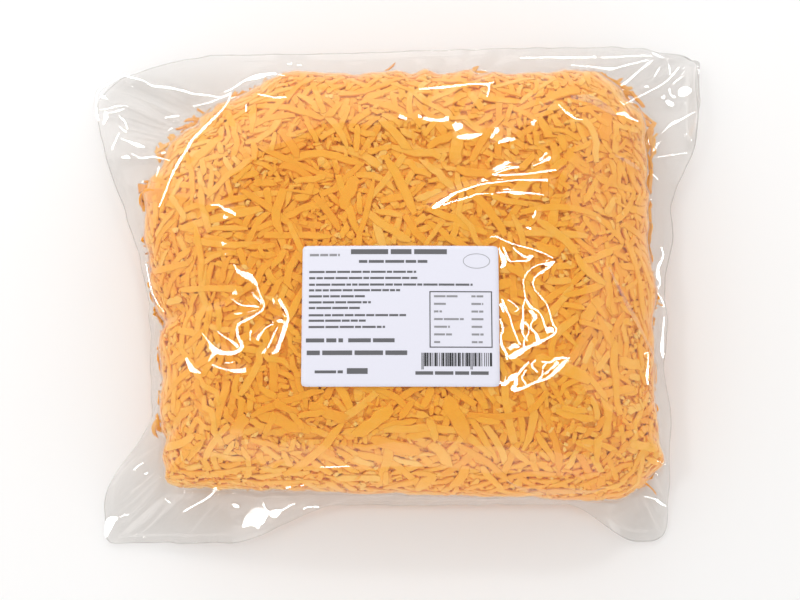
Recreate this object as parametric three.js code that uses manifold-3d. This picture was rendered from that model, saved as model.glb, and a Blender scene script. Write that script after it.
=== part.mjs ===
// A clear sealed pouch of shredded cheddar, lying on its back with its paper
// label up.
//
// Millimetres, +Z up. +X runs along the pouch's long side and +Y away from the
// side that the label is read from. The origin is on the surface that the
// pouch lies on, under the middle of its outline.
//
// Both pieces are thin or thick sheets over one square grid. A place on the
// grid is a ring r, from 0 in the middle to 1 at the pouch's hem, and a heading
// (a, b) on the edge of the unit square. Every height and outline below is a
// function of those.

import * as THREE from 'three';
import { mergeVertices } from 'three/addons/utils/BufferGeometryUtils.js';
import Module from 'manifold-3d';

const wasm = await Module();
wasm.setup();

// ---------------------------------------------------------------------------
// Driving dimensions
// ---------------------------------------------------------------------------

// The four corners of the film as it lies, the four corners of the cheese
// inside it, and how far each is rounded off, as a share of half the side. The
// rounding is an arc, or flatter where a bend under 2 is given.
const POUCH_CORNERS = {
  frontLeft: { x: -160, y: -141, round: 0.06 },
  frontRight: { x: 147, y: -140, round: 0.07 },
  backLeft: { x: -177, y: 127, round: 0.15 },
  backRight: { x: 176, y: 136, round: 0.07 },
};
const BODY_CORNERS = {
  frontLeft: { x: -129, y: -112, round: 0.1 },
  frontRight: { x: 142, y: -119, round: 0.22 },
  backLeft: { x: -147, y: 120, round: 0.62, bend: 1.45 },
  backRight: { x: 139, y: 122, round: 0.27 },
};

// Each side of the film is drawn in between its corners (let out where the
// number is negative). The bow grows and fades between the given shares of the
// side, counted from the front on the left and right, and from the left on the
// front and back. The cheese is drawn in on the left alone.
const POUCH_BOWS = {
  left: { draw: 30, grow: [0.07, 0.27], fade: [0.45, 0.98] },
  right: { draw: 11, grow: [0, 0.5], fade: [0.65, 0.85] },
  front: { draw: 20, grow: [0.22, 0.42], fade: [0.82, 0.95] },
  back: { draw: -8.5, grow: [0, 0.2], fade: [0.8, 1] },
};
const BODY_BOWS = { left: { draw: 6, grow: [0, 0.2], fade: [0.35, 0.6] } };

const BODY_TOP = 73; // the crown of the filled body
const DOME_DROP = 6; // how far the top falls towards the body's sides
const LUMP = 1.3; // unevenness of the filled body
const SEAM_SIDE = 24; // where the two films meet, half-way along a side
const SEAM_CORNER = 15; // and at the body's corners
const HEM_HEIGHTS = { left: 16, right: 14, front: 8, back: 11, corner: 3 };
const EAR_WRINKLE = 2.4; // folds that fan out over the empty corners
const FLANGE = 1.5; // the two films with the air between them

const BODY_RING = 0.82; // the ring where the cheese ends and the flange starts
const UPPER_WALL = 0.4; // shares of the body that its round walls take up
const LOWER_WALL = 0.16;
const SIDE_LIFT = 0.8; // the underside lies on its four corners, with its sides this much clear
const CROWN_RINGS = 3;
const WALL_RINGS = 5;
const FLANGE_RINGS = 3;

const LABEL_WIDTH = 100;
const LABEL_DEPTH = 72;
const LABEL_ROUND = 1.5;
const LABEL_THICKNESS = 0.4;
const LABEL_CENTRE = { x: 1.8, y: -26 };
const LABEL_RINGS = 6;
const GAP = 0.3; // free space between two pieces that touch

const SHRED_COUNT = 165;
const SHRED_TRIES = 6000;
const SHRED_LENGTHS = [42, 11]; // from the first ones thrown to the last
const SHRED_WIDTHS = [3.4, 5];
const SHRED_PROUD = [0.9, 1.7]; // how far one stands out of the body
const SHRED_ROOT = 1.6; // and how deep it is let in
const SHRED_SPACING = 4.8;
const SHRED_STEP = 16; // the longest straight stretch of one
const SHRED_BEND = 0.55; // radians from end to end, either way
const SHRED_REACH = 0.995; // the share of the body that is strewn
const CROWN_SHARE = 0.5; // of the way from the middle to the seam, over the top

// ---------------------------------------------------------------------------
// Small helpers
// ---------------------------------------------------------------------------

const { lerp, smoothstep } = THREE.MathUtils;

// The same numbers on every run, from 0 to 1.
function seededRandom(seed) {
  let state = seed;
  return () => {
    state = (state + 0x6d2b79f5) | 0;
    let t = Math.imul(state ^ (state >>> 15), 1 | state);
    t = (t + Math.imul(t ^ (t >>> 7), 61 | t)) ^ t;
    return ((t ^ (t >>> 14)) >>> 0) / 4294967296;
  };
}

// A heading on the unit square, pulled in to an arc near a corner. A bend of 2
// gives a true arc and 1 a straight cut.
function roundedHeading(a, b, round, bend = 2) {
  const inner = 1 - round;
  if (Math.abs(a) <= inner || Math.abs(b) <= inner) return [a, b];
  const centreA = Math.sign(a) * inner;
  const centreB = Math.sign(b) * inner;
  const reach = Math.abs(a - centreA) ** bend + Math.abs(b - centreB) ** bend;
  const scale = round / reach ** (1 / bend);
  return [centreA + (a - centreA) * scale, centreB + (b - centreB) * scale];
}

function bow({ draw, grow, fade }, share) {
  return draw * smoothstep(share, grow[0], grow[1]) * (1 - smoothstep(share, fade[0], fade[1]));
}

// A four-cornered outline with rounded corners and bowed sides, at one heading.
function outlinePoint(corners, bows, a, b) {
  const side = b < 0 ? 'front' : 'back';
  const nearest = corners[side + (a < 0 ? 'Left' : 'Right')];
  const [ra, rb] = roundedHeading(a, b, nearest.round, nearest.bend);
  const across = (ra + 1) / 2;
  const along = (rb + 1) / 2;
  const { frontLeft, frontRight, backLeft, backRight } = corners;
  const point = {
    x: lerp(lerp(frontLeft.x, frontRight.x, across), lerp(backLeft.x, backRight.x, across), along),
    y: lerp(lerp(frontLeft.y, frontRight.y, across), lerp(backLeft.y, backRight.y, across), along),
  };
  if (a === -1 && bows.left) point.x += bow(bows.left, (b + 1) / 2);
  if (a === 1 && bows.right) point.x -= bow(bows.right, (b + 1) / 2);
  if (b === -1 && bows.front) point.y += bow(bows.front, (a + 1) / 2);
  if (b === 1 && bows.back) point.y -= bow(bows.back, (a + 1) / 2);
  return point;
}

// ---------------------------------------------------------------------------
// The pouch
// ---------------------------------------------------------------------------

// 0 along the sides, 1 over the empty corners.
const cornerShare = (a, b) => smoothstep(Math.min(Math.abs(a), Math.abs(b)), 0.6, 0.95);

const seamHeight = (a, b) => lerp(SEAM_SIDE, SEAM_CORNER, cornerShare(a, b));

// The hem hangs at its own height on each side and lies almost on the
// surface at the corners.
function hemHeight(a, b) {
  const onSide = Math.abs(a) > Math.abs(b);
  const side = onSide ? (a < 0 ? 'left' : 'right') : (b < 0 ? 'front' : 'back');
  return lerp(HEM_HEIGHTS[side], HEM_HEIGHTS.corner, cornerShare(a, b));
}

// Folds that start at the body's corner and open towards the hem.
function earFold(a, b, reach) {
  const heading = Math.atan2(b, a);
  const wave = Math.sin(heading * 34 + 1.3) * 0.6 + Math.sin(heading * 53) * 0.4;
  return EAR_WRINKLE * wave * cornerShare(a, b) * Math.sin(Math.PI * reach);
}

// The crown: a low dome with broad lumps, calm under the label.
function crownHeight(x, y) {
  const dome = DOME_DROP * ((x / 135) ** 2 + (y / 115) ** 2);
  const lumps = Math.sin(x / 15 + 0.7) * Math.cos(y / 13) + Math.sin(x / 23 - y / 17 + 2);
  const beside = Math.abs(x - LABEL_CENTRE.x) / LABEL_WIDTH;
  const beyond = Math.abs(y - LABEL_CENTRE.y) / LABEL_DEPTH;
  const free = smoothstep(Math.max(beside, beyond), 0.5, 0.75);
  return BODY_TOP - dome + (LUMP / 2) * lumps * free;
}

// A quarter of a circle: 0 at the foot of a wall, 1 where it meets the flat.
function wallRise(depth, width) {
  const left = 1 - Math.min(depth / width, 1);
  return Math.sqrt(1 - left * left);
}

// How far the underside stands clear of the surface: it lies flat in the middle
// and out to its corners, and lifts a little along its sides.
function undersideLift(share, a, b) {
  const side = 1 - smoothstep(Math.min(Math.abs(a), Math.abs(b)), 0.7, 1);
  return SIDE_LIFT * side * smoothstep(share, 0.6, 1 - LOWER_WALL);
}

// A point of the pouch on its upper or lower face.
function pouchPoint(r, a, b, upper) {
  const foot = outlinePoint(BODY_CORNERS, BODY_BOWS, a, b);
  const seam = seamHeight(a, b);
  const half = upper ? FLANGE / 2 : -FLANGE / 2;
  if (r > BODY_RING) {
    const reach = (r - BODY_RING) / (1 - BODY_RING);
    const hem = outlinePoint(POUCH_CORNERS, POUCH_BOWS, a, b);
    const height = lerp(seam, hemHeight(a, b), reach ** 0.8) + earFold(a, b, reach);
    return new THREE.Vector3(lerp(foot.x, hem.x, reach), lerp(foot.y, hem.y, reach), height + half);
  }
  const share = r / BODY_RING;
  const point = new THREE.Vector3(foot.x * share, foot.y * share, seam + half);
  if (upper) {
    const crown = crownHeight(point.x, point.y);
    point.z = lerp(point.z, crown, wallRise(1 - share, UPPER_WALL));
  } else {
    const rise = wallRise(1 - share, LOWER_WALL);
    point.z = lerp(point.z, undersideLift(share, a, b), rise);
  }
  return point;
}

// The ring that lies a given share of the way from the middle of the crown,
// over the round wall, down to the seam: even steps over the crown, and then
// equal turns of the wall.
function bodyRing(share, crownShare) {
  if (share < crownShare) return (BODY_RING * (1 - UPPER_WALL) * share) / crownShare;
  const turn = ((Math.PI / 2) * (1 - share)) / (1 - crownShare);
  return BODY_RING * (1 - UPPER_WALL * (1 - Math.cos(turn)));
}

function pouchRings() {
  const radii = [];
  const bodyRings = CROWN_RINGS + WALL_RINGS;
  for (let i = 0; i < bodyRings; i += 1) {
    radii.push(bodyRing(i / bodyRings, CROWN_RINGS / bodyRings));
  }
  for (let i = 0; i <= FLANGE_RINGS; i += 1) {
    radii.push(lerp(BODY_RING, 1, i / FLANGE_RINGS));
  }
  return radii;
}

// A closed solid between two faces over the square grid of rings. Both faces
// are split into triangles alike, and a band joins their outer edges.
function gridSolid(radii, facePoint) {
  const rings = radii.length - 1;
  const size = 2 * rings + 1;
  const positions = [];
  for (const upper of [true, false]) {
    for (let j = -rings; j <= rings; j += 1) {
      for (let i = -rings; i <= rings; i += 1) {
        const ring = Math.max(Math.abs(i), Math.abs(j));
        const point = facePoint(radii[ring], ring ? i / ring : 1, ring ? j / ring : 0, upper);
        positions.push(point.x, point.y, point.z);
      }
    }
  }
  const at = (i, j) => (j + rings) * size + (i + rings);
  const below = size * size;
  const index = [];
  const addBoth = (p, q, s) => index.push(p, q, s, p + below, s + below, q + below);
  for (let j = -rings; j < rings; j += 1) {
    for (let i = -rings; i < rings; i += 1) {
      const [p, q, s, t] = [at(i, j), at(i + 1, j), at(i + 1, j + 1), at(i, j + 1)];
      if (i < 0 === j < 0) {
        addBoth(p, q, s);
        addBoth(p, s, t);
      } else {
        addBoth(p, q, t);
        addBoth(q, s, t);
      }
    }
  }
  const addEdge = (p, q) => index.push(p, p + below, q + below, p, q + below, q);
  for (let k = -rings; k < rings; k += 1) {
    addEdge(at(k, -rings), at(k + 1, -rings));
    addEdge(at(rings, k), at(rings, k + 1));
    addEdge(at(-k, rings), at(-k - 1, rings));
    addEdge(at(-rings, -k), at(-rings, -k - 1));
  }
  const geometry = new THREE.BufferGeometry();
  geometry.setAttribute('position', new THREE.Float32BufferAttribute(positions, 3));
  geometry.setIndex(index);
  return geometry;
}

// ---------------------------------------------------------------------------
// The shreds that press against the film
// ---------------------------------------------------------------------------

// A point of the upper face by its two grid coordinates.
function upperPoint(u, v) {
  const r = Math.max(Math.abs(u), Math.abs(v), 1e-6);
  return pouchPoint(r, u / r, v / r, true);
}

// The upper face at one place: the point, its two slopes and its normal.
function upperFrame(u, v) {
  const step = 0.004;
  const point = upperPoint(u, v);
  const slopeU = upperPoint(u + step, v).sub(upperPoint(u - step, v)).divideScalar(2 * step);
  const slopeV = upperPoint(u, v + step).sub(upperPoint(u, v - step)).divideScalar(2 * step);
  const normal = slopeU.clone().cross(slopeV).normalize();
  return { point, slopeU, slopeV, normal };
}

// Walk over the upper face from (u, v), turning a little at each step, and
// return the frames passed, with the way walked at each.
function walk(u, v, heading, length, bend, steps) {
  const frames = [];
  let place = { u, v };
  for (let i = 0; i <= steps; i += 1) {
    const frame = upperFrame(place.u, place.v);
    const east = frame.slopeU.clone().normalize();
    const north = frame.normal.clone().cross(east);
    const turned = heading + bend * (i / steps - 0.5);
    const way = east.clone().multiplyScalar(Math.cos(turned));
    way.addScaledVector(north, Math.sin(turned));
    frames.push({ ...frame, way, place });
    // Share the step out between u and v, by the way's two slopes.
    const [uu, vv, uv] = [
      frame.slopeU.lengthSq(),
      frame.slopeV.lengthSq(),
      frame.slopeU.dot(frame.slopeV),
    ];
    const [wu, wv] = [way.dot(frame.slopeU), way.dot(frame.slopeV)];
    const scale = length / steps / (uu * vv - uv * uv);
    place = {
      u: place.u + (wu * vv - wv * uv) * scale,
      v: place.v + (wv * uu - wu * uv) * scale,
    };
  }
  return frames;
}

// A flat strip along the frames, let into the face and standing proud of it.
function shredSolid(frames, width, proud) {
  const positions = [];
  frames.forEach(({ point, normal, way }) => {
    const aside = normal.clone().cross(way);
    const corners = [[-1, -SHRED_ROOT], [1, -SHRED_ROOT], [0.8, proud], [-0.8, proud]];
    for (const [side, lift] of corners) {
      const corner = point.clone().addScaledVector(aside, (side * width) / 2);
      corner.addScaledVector(normal, lift);
      positions.push(corner.x, corner.y, corner.z);
    }
  });
  const index = [0, 2, 1, 0, 3, 2];
  for (let i = 0; i < frames.length - 1; i += 1) {
    for (let k = 0; k < 4; k += 1) {
      const [p, q] = [4 * i + k, 4 * i + ((k + 1) % 4)];
      index.push(p, q + 4, p + 4, p, q, q + 4);
    }
  }
  const last = positions.length / 3 - 4;
  index.push(last, last + 1, last + 2, last, last + 2, last + 3);
  const geometry = new THREE.BufferGeometry();
  geometry.setAttribute('position', new THREE.Float32BufferAttribute(positions, 3));
  geometry.setIndex(index);
  return geometry;
}

// True where a shred would run off the strewn part, or under the label.
function outOfBounds({ point, place }, margin) {
  const ring = Math.max(Math.abs(place.u), Math.abs(place.v));
  const underX = Math.abs(point.x - LABEL_CENTRE.x) < LABEL_WIDTH / 2 + margin;
  const underY = Math.abs(point.y - LABEL_CENTRE.y) < LABEL_DEPTH / 2 + margin;
  return ring > BODY_RING * SHRED_REACH || (underX && underY);
}

// Lay the shreds one by one, the longest first. One that would lie on another,
// leave the body or run under the label is thrown again.
function strewnShreds() {
  const random = seededRandom(11);
  const taken = [];
  const solids = [];
  for (let tries = 0; tries < SHRED_TRIES && solids.length < SHRED_COUNT; tries += 1) {
    const length = lerp(...SHRED_LENGTHS, tries / SHRED_TRIES) * lerp(0.8, 1.2, random());
    const [east, north] = [lerp(-1, 1, random()), lerp(-1, 1, random())];
    const share = Math.max(Math.abs(east), Math.abs(north));
    const scale = bodyRing(share, CROWN_SHARE) / share;
    const [u, v] = [east * scale, north * scale];
    const steps = Math.ceil(length / SHRED_STEP);
    const bend = SHRED_BEND * lerp(-1, 1, random());
    const frames = walk(u, v, random() * Math.PI * 2, length, bend, steps);
    const width = lerp(...SHRED_WIDTHS, random());
    const proud = lerp(...SHRED_PROUD, random());
    if (frames.some((frame) => outOfBounds(frame, width))) continue;
    const spots = frames.flatMap((frame, i) => {
      const next = frames[i + 1] ?? frame;
      return [frame.point, frame.point.clone().lerp(next.point, 0.5)];
    });
    if (spots.some((spot) => taken.some((other) => other.distanceTo(spot) < SHRED_SPACING))) continue;
    taken.push(...spots);
    solids.push(shredSolid(frames, width, proud));
  }
  return solids;
}

// ---------------------------------------------------------------------------
// Joining
// ---------------------------------------------------------------------------

function toManifold(geometry) {
  const merged = mergeVertices(geometry);
  return new wasm.Manifold(new wasm.Mesh({
    numProp: 3,
    vertProperties: new Float32Array(merged.attributes.position.array),
    triVerts: new Uint32Array(merged.index.array),
  }));
}

function fromManifold(solid) {
  const mesh = solid.getMesh();
  const geometry = new THREE.BufferGeometry();
  geometry.setAttribute('position', new THREE.BufferAttribute(mesh.vertProperties, 3));
  geometry.setIndex(new THREE.BufferAttribute(mesh.triVerts, 1));
  return geometry;
}

// The largest shell alone: a hollow sealed between two shreds is filled, and a
// loose scrap is dropped. Its corners are merged first, so that a hollow that
// only touches the outside at one point counts as sealed too.
function outerShell(solid) {
  const shells = toManifold(fromManifold(solid)).decompose();
  return shells.reduce((best, shell) => (shell.volume() > best.volume() ? shell : best));
}

function makeBag() {
  let solid = toManifold(gridSolid(pouchRings(), pouchPoint));
  for (const shred of strewnShreds()) solid = solid.add(toManifold(shred));
  solid = outerShell(solid);
  const material = new THREE.MeshStandardMaterial({ color: 0xf2b055, roughness: 0.45, metalness: 0 });
  return namedMesh('bag', fromManifold(solid), material);
}

// ---------------------------------------------------------------------------
// The label
// ---------------------------------------------------------------------------

// A paper rectangle with rounded corners that follows the crown.
function labelPoint(r, a, b, upper) {
  const [ra, rb] = labelHeading(a, b);
  const x = LABEL_CENTRE.x + (LABEL_WIDTH / 2) * r * ra;
  const y = LABEL_CENTRE.y + (LABEL_DEPTH / 2) * r * rb;
  const lift = GAP + (upper ? LABEL_THICKNESS : 0);
  return new THREE.Vector3(x, y, crownHeight(x, y) + lift);
}

// The corner arc is round in millimetres, so its share differs along each side.
function labelHeading(a, b) {
  return roundedHeading(a, b, (2 * LABEL_ROUND) / LABEL_DEPTH);
}

function makeLabel() {
  const radii = [];
  for (let i = 0; i < LABEL_RINGS; i += 1) radii.push(i / LABEL_RINGS);
  radii.push(1);
  const material = new THREE.MeshStandardMaterial({ color: 0xf6f7fb, roughness: 0.55, metalness: 0 });
  return namedMesh('label', gridSolid(radii, labelPoint), material);
}

// ---------------------------------------------------------------------------
// The whole part
// ---------------------------------------------------------------------------

function namedMesh(name, geometry, material) {
  const mesh = new THREE.Mesh(geometry, material);
  mesh.name = name;
  return mesh;
}

const group = new THREE.Group();
group.add(makeBag(), makeLabel());

// Put the origin under the middle of the outline.
const middle = new THREE.Box3().setFromObject(group).getCenter(new THREE.Vector3());
group.position.set(-middle.x, -middle.y, 0);

export default group;
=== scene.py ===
# %% [markdown]
# # A clear pouch of shredded cheddar
#
# The object is a soft, heat-sealed plastic pouch, filled with two kilograms of
# orange shreds, lying on its back with a white paper label up. Three things
# make the look: thousands of flat shreds that are pressed against the film from
# inside, a thin glossy film whose creases catch the light, and the empty
# corners of film that stick out round the body.
#
# Everything is worked out with numpy in millimetres, in the frame of the packed
# model, and turned into metres at the very end, when a mesh is made.

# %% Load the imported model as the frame
import math

import bpy
import numpy as np
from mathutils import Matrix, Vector


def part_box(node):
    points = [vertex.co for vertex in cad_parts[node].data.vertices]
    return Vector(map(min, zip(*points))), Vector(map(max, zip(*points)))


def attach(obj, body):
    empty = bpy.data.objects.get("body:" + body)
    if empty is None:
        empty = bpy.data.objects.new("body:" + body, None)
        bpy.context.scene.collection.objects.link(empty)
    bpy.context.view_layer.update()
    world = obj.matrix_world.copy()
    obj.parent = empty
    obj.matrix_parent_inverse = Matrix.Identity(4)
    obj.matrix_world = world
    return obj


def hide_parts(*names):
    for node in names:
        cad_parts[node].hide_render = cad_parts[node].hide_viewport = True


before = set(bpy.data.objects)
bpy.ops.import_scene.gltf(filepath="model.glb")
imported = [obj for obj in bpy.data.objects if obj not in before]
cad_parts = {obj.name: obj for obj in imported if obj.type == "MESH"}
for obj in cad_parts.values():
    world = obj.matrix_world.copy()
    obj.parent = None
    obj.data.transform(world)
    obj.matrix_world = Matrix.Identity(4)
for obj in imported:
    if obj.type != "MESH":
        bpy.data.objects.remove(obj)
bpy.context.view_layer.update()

MM = 0.001
BAG_LOW, BAG_HIGH = (np.array(corner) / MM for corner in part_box("bag"))
LABEL_LOW, LABEL_HIGH = (np.array(corner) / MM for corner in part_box("label"))
print("bag from", BAG_LOW.round(1), "to", BAG_HIGH.round(1), "mm")

# %% [markdown]
# ## Where the camera stands
#
# The photograph looks almost straight down, from about 80 degrees above the
# table and 0.6 m away. Creases and stray shreds are given by the pixels where
# they lie in its view, so the same camera is also written as a small projection:
# it says at which pixel a point is seen, and which ray goes through a pixel.

# %% The camera and its projection
PHOTO_WIDTH, PHOTO_HEIGHT = 800, 600
CAMERA_ELEVATION = math.radians(80)
CAMERA_DISTANCE = 600.0
FOCAL_PIXELS = 1176.0
SENSOR_MM = 36.0
LOOKED_AT = np.array([1.3, -18.4, 70.0])
FORWARD = np.array([0, math.cos(CAMERA_ELEVATION), -math.sin(CAMERA_ELEVATION)])
UPWARD = np.array([0, math.sin(CAMERA_ELEVATION), math.cos(CAMERA_ELEVATION)])
CAMERA_PLACE = LOOKED_AT - FORWARD * CAMERA_DISTANCE


def seen_at(points):
    """The pixel (x right, y down) at which each point is seen: its offset across
    the view times the focal length in pixels, over its depth."""
    away = points - CAMERA_PLACE
    depth = away @ FORWARD
    x = PHOTO_WIDTH / 2 + FOCAL_PIXELS * away[..., 0] / depth
    y = PHOTO_HEIGHT / 2 - FOCAL_PIXELS * (away @ UPWARD) / depth
    return x, y


def ray_through(x, y):
    """The camera's ray through each pixel: forward, plus the pixel's offsets."""
    across = ((x - PHOTO_WIDTH / 2) / FOCAL_PIXELS)[..., None] * np.array([1.0, 0, 0])
    up = ((PHOTO_HEIGHT / 2 - y) / FOCAL_PIXELS)[..., None] * UPWARD
    return FORWARD + across + up


def add_camera():
    """The camera looks along FORWARD, with its focal length in the sensor's unit."""
    camera = bpy.data.objects.new("camera", bpy.data.cameras.new("camera"))
    camera.location = CAMERA_PLACE * MM
    camera.rotation_euler = (math.pi / 2 - CAMERA_ELEVATION, 0, 0)
    camera.data.sensor_width = SENSOR_MM
    camera.data.lens = FOCAL_PIXELS * SENSOR_MM / PHOTO_WIDTH
    camera.data.clip_start = 0.01
    bpy.context.scene.collection.objects.link(camera)
    bpy.context.scene.camera = camera


add_camera()
print("camera at", CAMERA_PLACE.round(1), "mm")

# %% [markdown]
# ## The pouch's form
#
# A filled pouch is a pillow with a flat rim. Its two outlines, the cheese's and
# the film's, are four-cornered, with rounded corners and sides that bow. A
# square grid is carried onto them: a place on it is m, from 0 in the middle over
# 1 at the seam to the hem, and a heading (a, b) on the edge of the unit square.
# There is no pole in the middle, and the grid's lines follow the sides. The
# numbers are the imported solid's, but for a sharper front left corner.

# %% The two outlines
POUCH_CORNERS = {
    "front left": dict(x=-160, y=-141, round=0.025),
    "front right": dict(x=147, y=-140, round=0.07),
    "back left": dict(x=-177, y=127, round=0.15),
    "back right": dict(x=176, y=136, round=0.07),
}
BODY_CORNERS = {
    "front left": dict(x=-129, y=-112, round=0.1),
    "front right": dict(x=142, y=-119, round=0.22),
    "back left": dict(x=-147, y=120, round=0.62, bend=1.45),
    "back right": dict(x=139, y=122, round=0.27),
}
POUCH_BOWS = {
    "left": dict(draw=30, grow=(0.07, 0.27), fade=(0.45, 0.98)),
    "right": dict(draw=11, grow=(0, 0.5), fade=(0.65, 0.85)),
    "front": dict(draw=20, grow=(0.22, 0.42), fade=(0.82, 0.95)),
    "back": dict(draw=-8.5, grow=(0, 0.2), fade=(0.8, 1)),
}
BODY_BOWS = {"left": dict(draw=6, grow=(0, 0.2), fade=(0.35, 0.6))}


def ease(x, low, high):
    """0 below low, 1 above high, and 3t^2 - 2t^3 between them."""
    t = np.clip((x - low) / (high - low), 0, 1)
    return t * t * (3 - 2 * t)


def mix(low, high, share):
    """low + (high - low) * share."""
    return low + (high - low) * share


def bow(bows, side, share):
    """How far a side is drawn in: its depth times a rise and a fall of ease."""
    if side not in bows:
        return 0 * share
    shape = bows[side]
    return shape["draw"] * ease(share, *shape["grow"]) * (1 - ease(share, *shape["fade"]))


def rounded(a, b, radius, bend):
    """A heading on the unit square, pulled in towards each corner's arc: past the
    radius, the point is brought to |da|^bend + |db|^bend = radius^bend."""
    da = np.maximum(np.abs(a) - (1 - radius), 0)
    db = np.maximum(np.abs(b) - (1 - radius), 0)
    at_corner = (da > 0) & (db > 0)
    reach = (da**bend + db**bend) ** (1 / bend)
    scale = np.where(at_corner, radius / np.maximum(reach, 1e-9), 1)
    ra = np.where(at_corner, np.sign(a) * (1 - radius + da * scale), a)
    rb = np.where(at_corner, np.sign(b) * (1 - radius + db * scale), b)
    return ra, rb


def outline(corners, bows, a, b):
    """The outline's x and y at a heading: the rounded heading, carried between the
    four corners by two linear blends, and drawn in by each side's bow."""
    front_left, front_right, back_left, back_right = corners.values()
    quarter = np.where(b < 0, np.where(a < 0, 0, 1), np.where(a < 0, 2, 3))
    radius = np.array([corner["round"] for corner in corners.values()])[quarter]
    bend = np.array([corner.get("bend", 2) for corner in corners.values()])[quarter]
    ra, rb = rounded(a, b, radius, bend)
    across, along = (ra + 1) / 2, (rb + 1) / 2
    x, y = (
        mix(
            mix(front_left[key], front_right[key], across),
            mix(back_left[key], back_right[key], across),
            along,
        )
        for key in ("x", "y")
    )
    x = x + np.where(a <= -1, bow(bows, "left", (b + 1) / 2), 0)
    x = x - np.where(a >= 1, bow(bows, "right", (b + 1) / 2), 0)
    y = y + np.where(b <= -1, bow(bows, "front", (a + 1) / 2), 0)
    y = y - np.where(b >= 1, bow(bows, "back", (a + 1) / 2), 0)
    return x, y


def round_the_square(steps):
    """Headings all the way round the unit square, as two arrays."""
    t = np.linspace(-1, 1, steps, endpoint=False)
    one = np.ones(steps)
    return np.concatenate([t, one, -t, -one]), np.concatenate([-one, t, one, -t])


hem_x, hem_y = outline(POUCH_CORNERS, POUCH_BOWS, *round_the_square(100))
SHIFT = np.array([(hem_x.min() + hem_x.max()) / 2, (hem_y.min() + hem_y.max()) / 2])
print("film", round(np.ptp(hem_x), 1), "x", round(np.ptp(hem_y), 1), "mm")

# %% [markdown]
# ## Its heights
#
# The crown is a low dome with broad lumps, calm under the label. The upper wall
# is a quarter of a circle in its section, from the seam up to the crown, and the
# lower wall a smaller one down to the table.

# %% The crown
BODY_TOP = 73
DOME_DROP = 6  # at DOME_REACH from the middle, along x or y
DOME_REACH = (135, 115)
LUMP = 1.3
LABEL_MIDDLE = (LABEL_LOW + LABEL_HIGH)[:2] / 2
LABEL_SIZE = (LABEL_HIGH - LABEL_LOW)[:2]


def off_label(x, y, high):
    """0 under the label, whose edges are at a share of 0.5, and 1 from high on."""
    beside = np.abs(x - LABEL_MIDDLE[0]) / LABEL_SIZE[0]
    beyond = np.abs(y - LABEL_MIDDLE[1]) / LABEL_SIZE[1]
    return ease(np.maximum(beside, beyond), 0.5, high)


def crown_height(x, y):
    """The dome falls with the square of the distance from the middle, and two
    waves make the lumps, which fade out towards the label."""
    u, v = x + SHIFT[0], y + SHIFT[1]
    dome = DOME_DROP * ((u / DOME_REACH[0]) ** 2 + (v / DOME_REACH[1]) ** 2)
    lumps = np.sin(u / 15 + 0.7) * np.cos(v / 13) + np.sin(u / 23 - v / 17 + 2)
    return BODY_TOP - dome + LUMP / 2 * lumps * off_label(x, y, 0.75)


print("crown", round(float(crown_height(*LABEL_MIDDLE)), 1), "mm high under the label")

# %% [markdown]
# The walls are what blends the crown and the underside into the seam. The grid
# has even steps over the crown and equal turns down a round wall, so that its
# cells stay alike. The seam is lower at the corners, where the pouch is thin.

# %% Seam and walls
SEAM_SIDE, SEAM_CORNER = 24, 15
UPPER_WALL, LOWER_WALL = 0.4, 0.16  # the walls' width, as a share of the reach
CROWN_SHARE = 0.5  # the share of the grid that lies on the crown
SIDE_LIFT = 0.8


def corner_share(a, b):
    """0 along the sides and 1 over the empty corners."""
    return ease(np.minimum(np.abs(a), np.abs(b)), 0.6, 0.95)


def seam_height(a, b):
    """A blend of the seam's height at the sides and at the corners."""
    return mix(SEAM_SIDE, SEAM_CORNER, corner_share(a, b))


def wall_rise(depth, width):
    """A quarter of a circle: the root of 1 - (1 - depth / width)^2."""
    left = 1 - np.minimum(depth / width, 1)
    return np.sqrt(1 - left**2)


def ring_of(m):
    """The share of the outline's reach at m: even steps over the crown, equal
    turns down the round wall."""
    over_crown = (1 - UPPER_WALL) * m / CROWN_SHARE
    turn = math.pi / 2 * (1 - m) / (1 - CROWN_SHARE)
    down_wall = 1 - UPPER_WALL * (1 - np.cos(turn))
    return np.where(m < CROWN_SHARE, over_crown, down_wall)


def heading_of(s, t):
    """The grid place (s, t) as m and its heading on the unit square."""
    m = np.maximum(np.maximum(np.abs(s), np.abs(t)), 1e-9)
    return m, s / m, t / m


def underside_lift(share, a, b):
    """The underside is flat out to its corners and lifts a little at its sides."""
    side = 1 - ease(np.minimum(np.abs(a), np.abs(b)), 0.7, 1)
    return SIDE_LIFT * side * ease(share, 0.6, 1 - LOWER_WALL)


# %% [markdown]
# Loose shreds have no straight edge, so the line where the cheese ends is made
# uneven. Noise on a surface is value noise: drawn numbers on a coarse lattice,
# blended smoothly between its corners.

# %% Noise, and where the cheese ends
LATTICE = 64
FOOT_UNEVEN = 2.4
FOOT_CALM = 0.4  # the share of the unevenness that is left at the front
FOOT_REACH = 130  # from the middle to the foot, roughly


def value_noise(x, y, size, seed):
    """Smooth noise from -1 to 1 with bumps of one size: lattice numbers, blended by
    ease along x and y."""
    lattice = np.random.default_rng(seed).uniform(-1, 1, (LATTICE, LATTICE))
    u, v = x / size, y / size
    i, j = np.floor(u).astype(int), np.floor(v).astype(int)
    fu, fv = ease(u - i, 0, 1), ease(v - j, 0, 1)
    i, j, right, up = i % LATTICE, j % LATTICE, (i + 1) % LATTICE, (j + 1) % LATTICE
    low = mix(lattice[i, j], lattice[right, j], fu)
    high = mix(lattice[i, up], lattice[right, up], fu)
    return mix(low, high, fv)


def ridges(x, y, size, seed):
    """Sharp folds: 1 on the lines where the noise is 0, falling to either side."""
    return 1 - np.abs(value_noise(x, y, size, seed))


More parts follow.
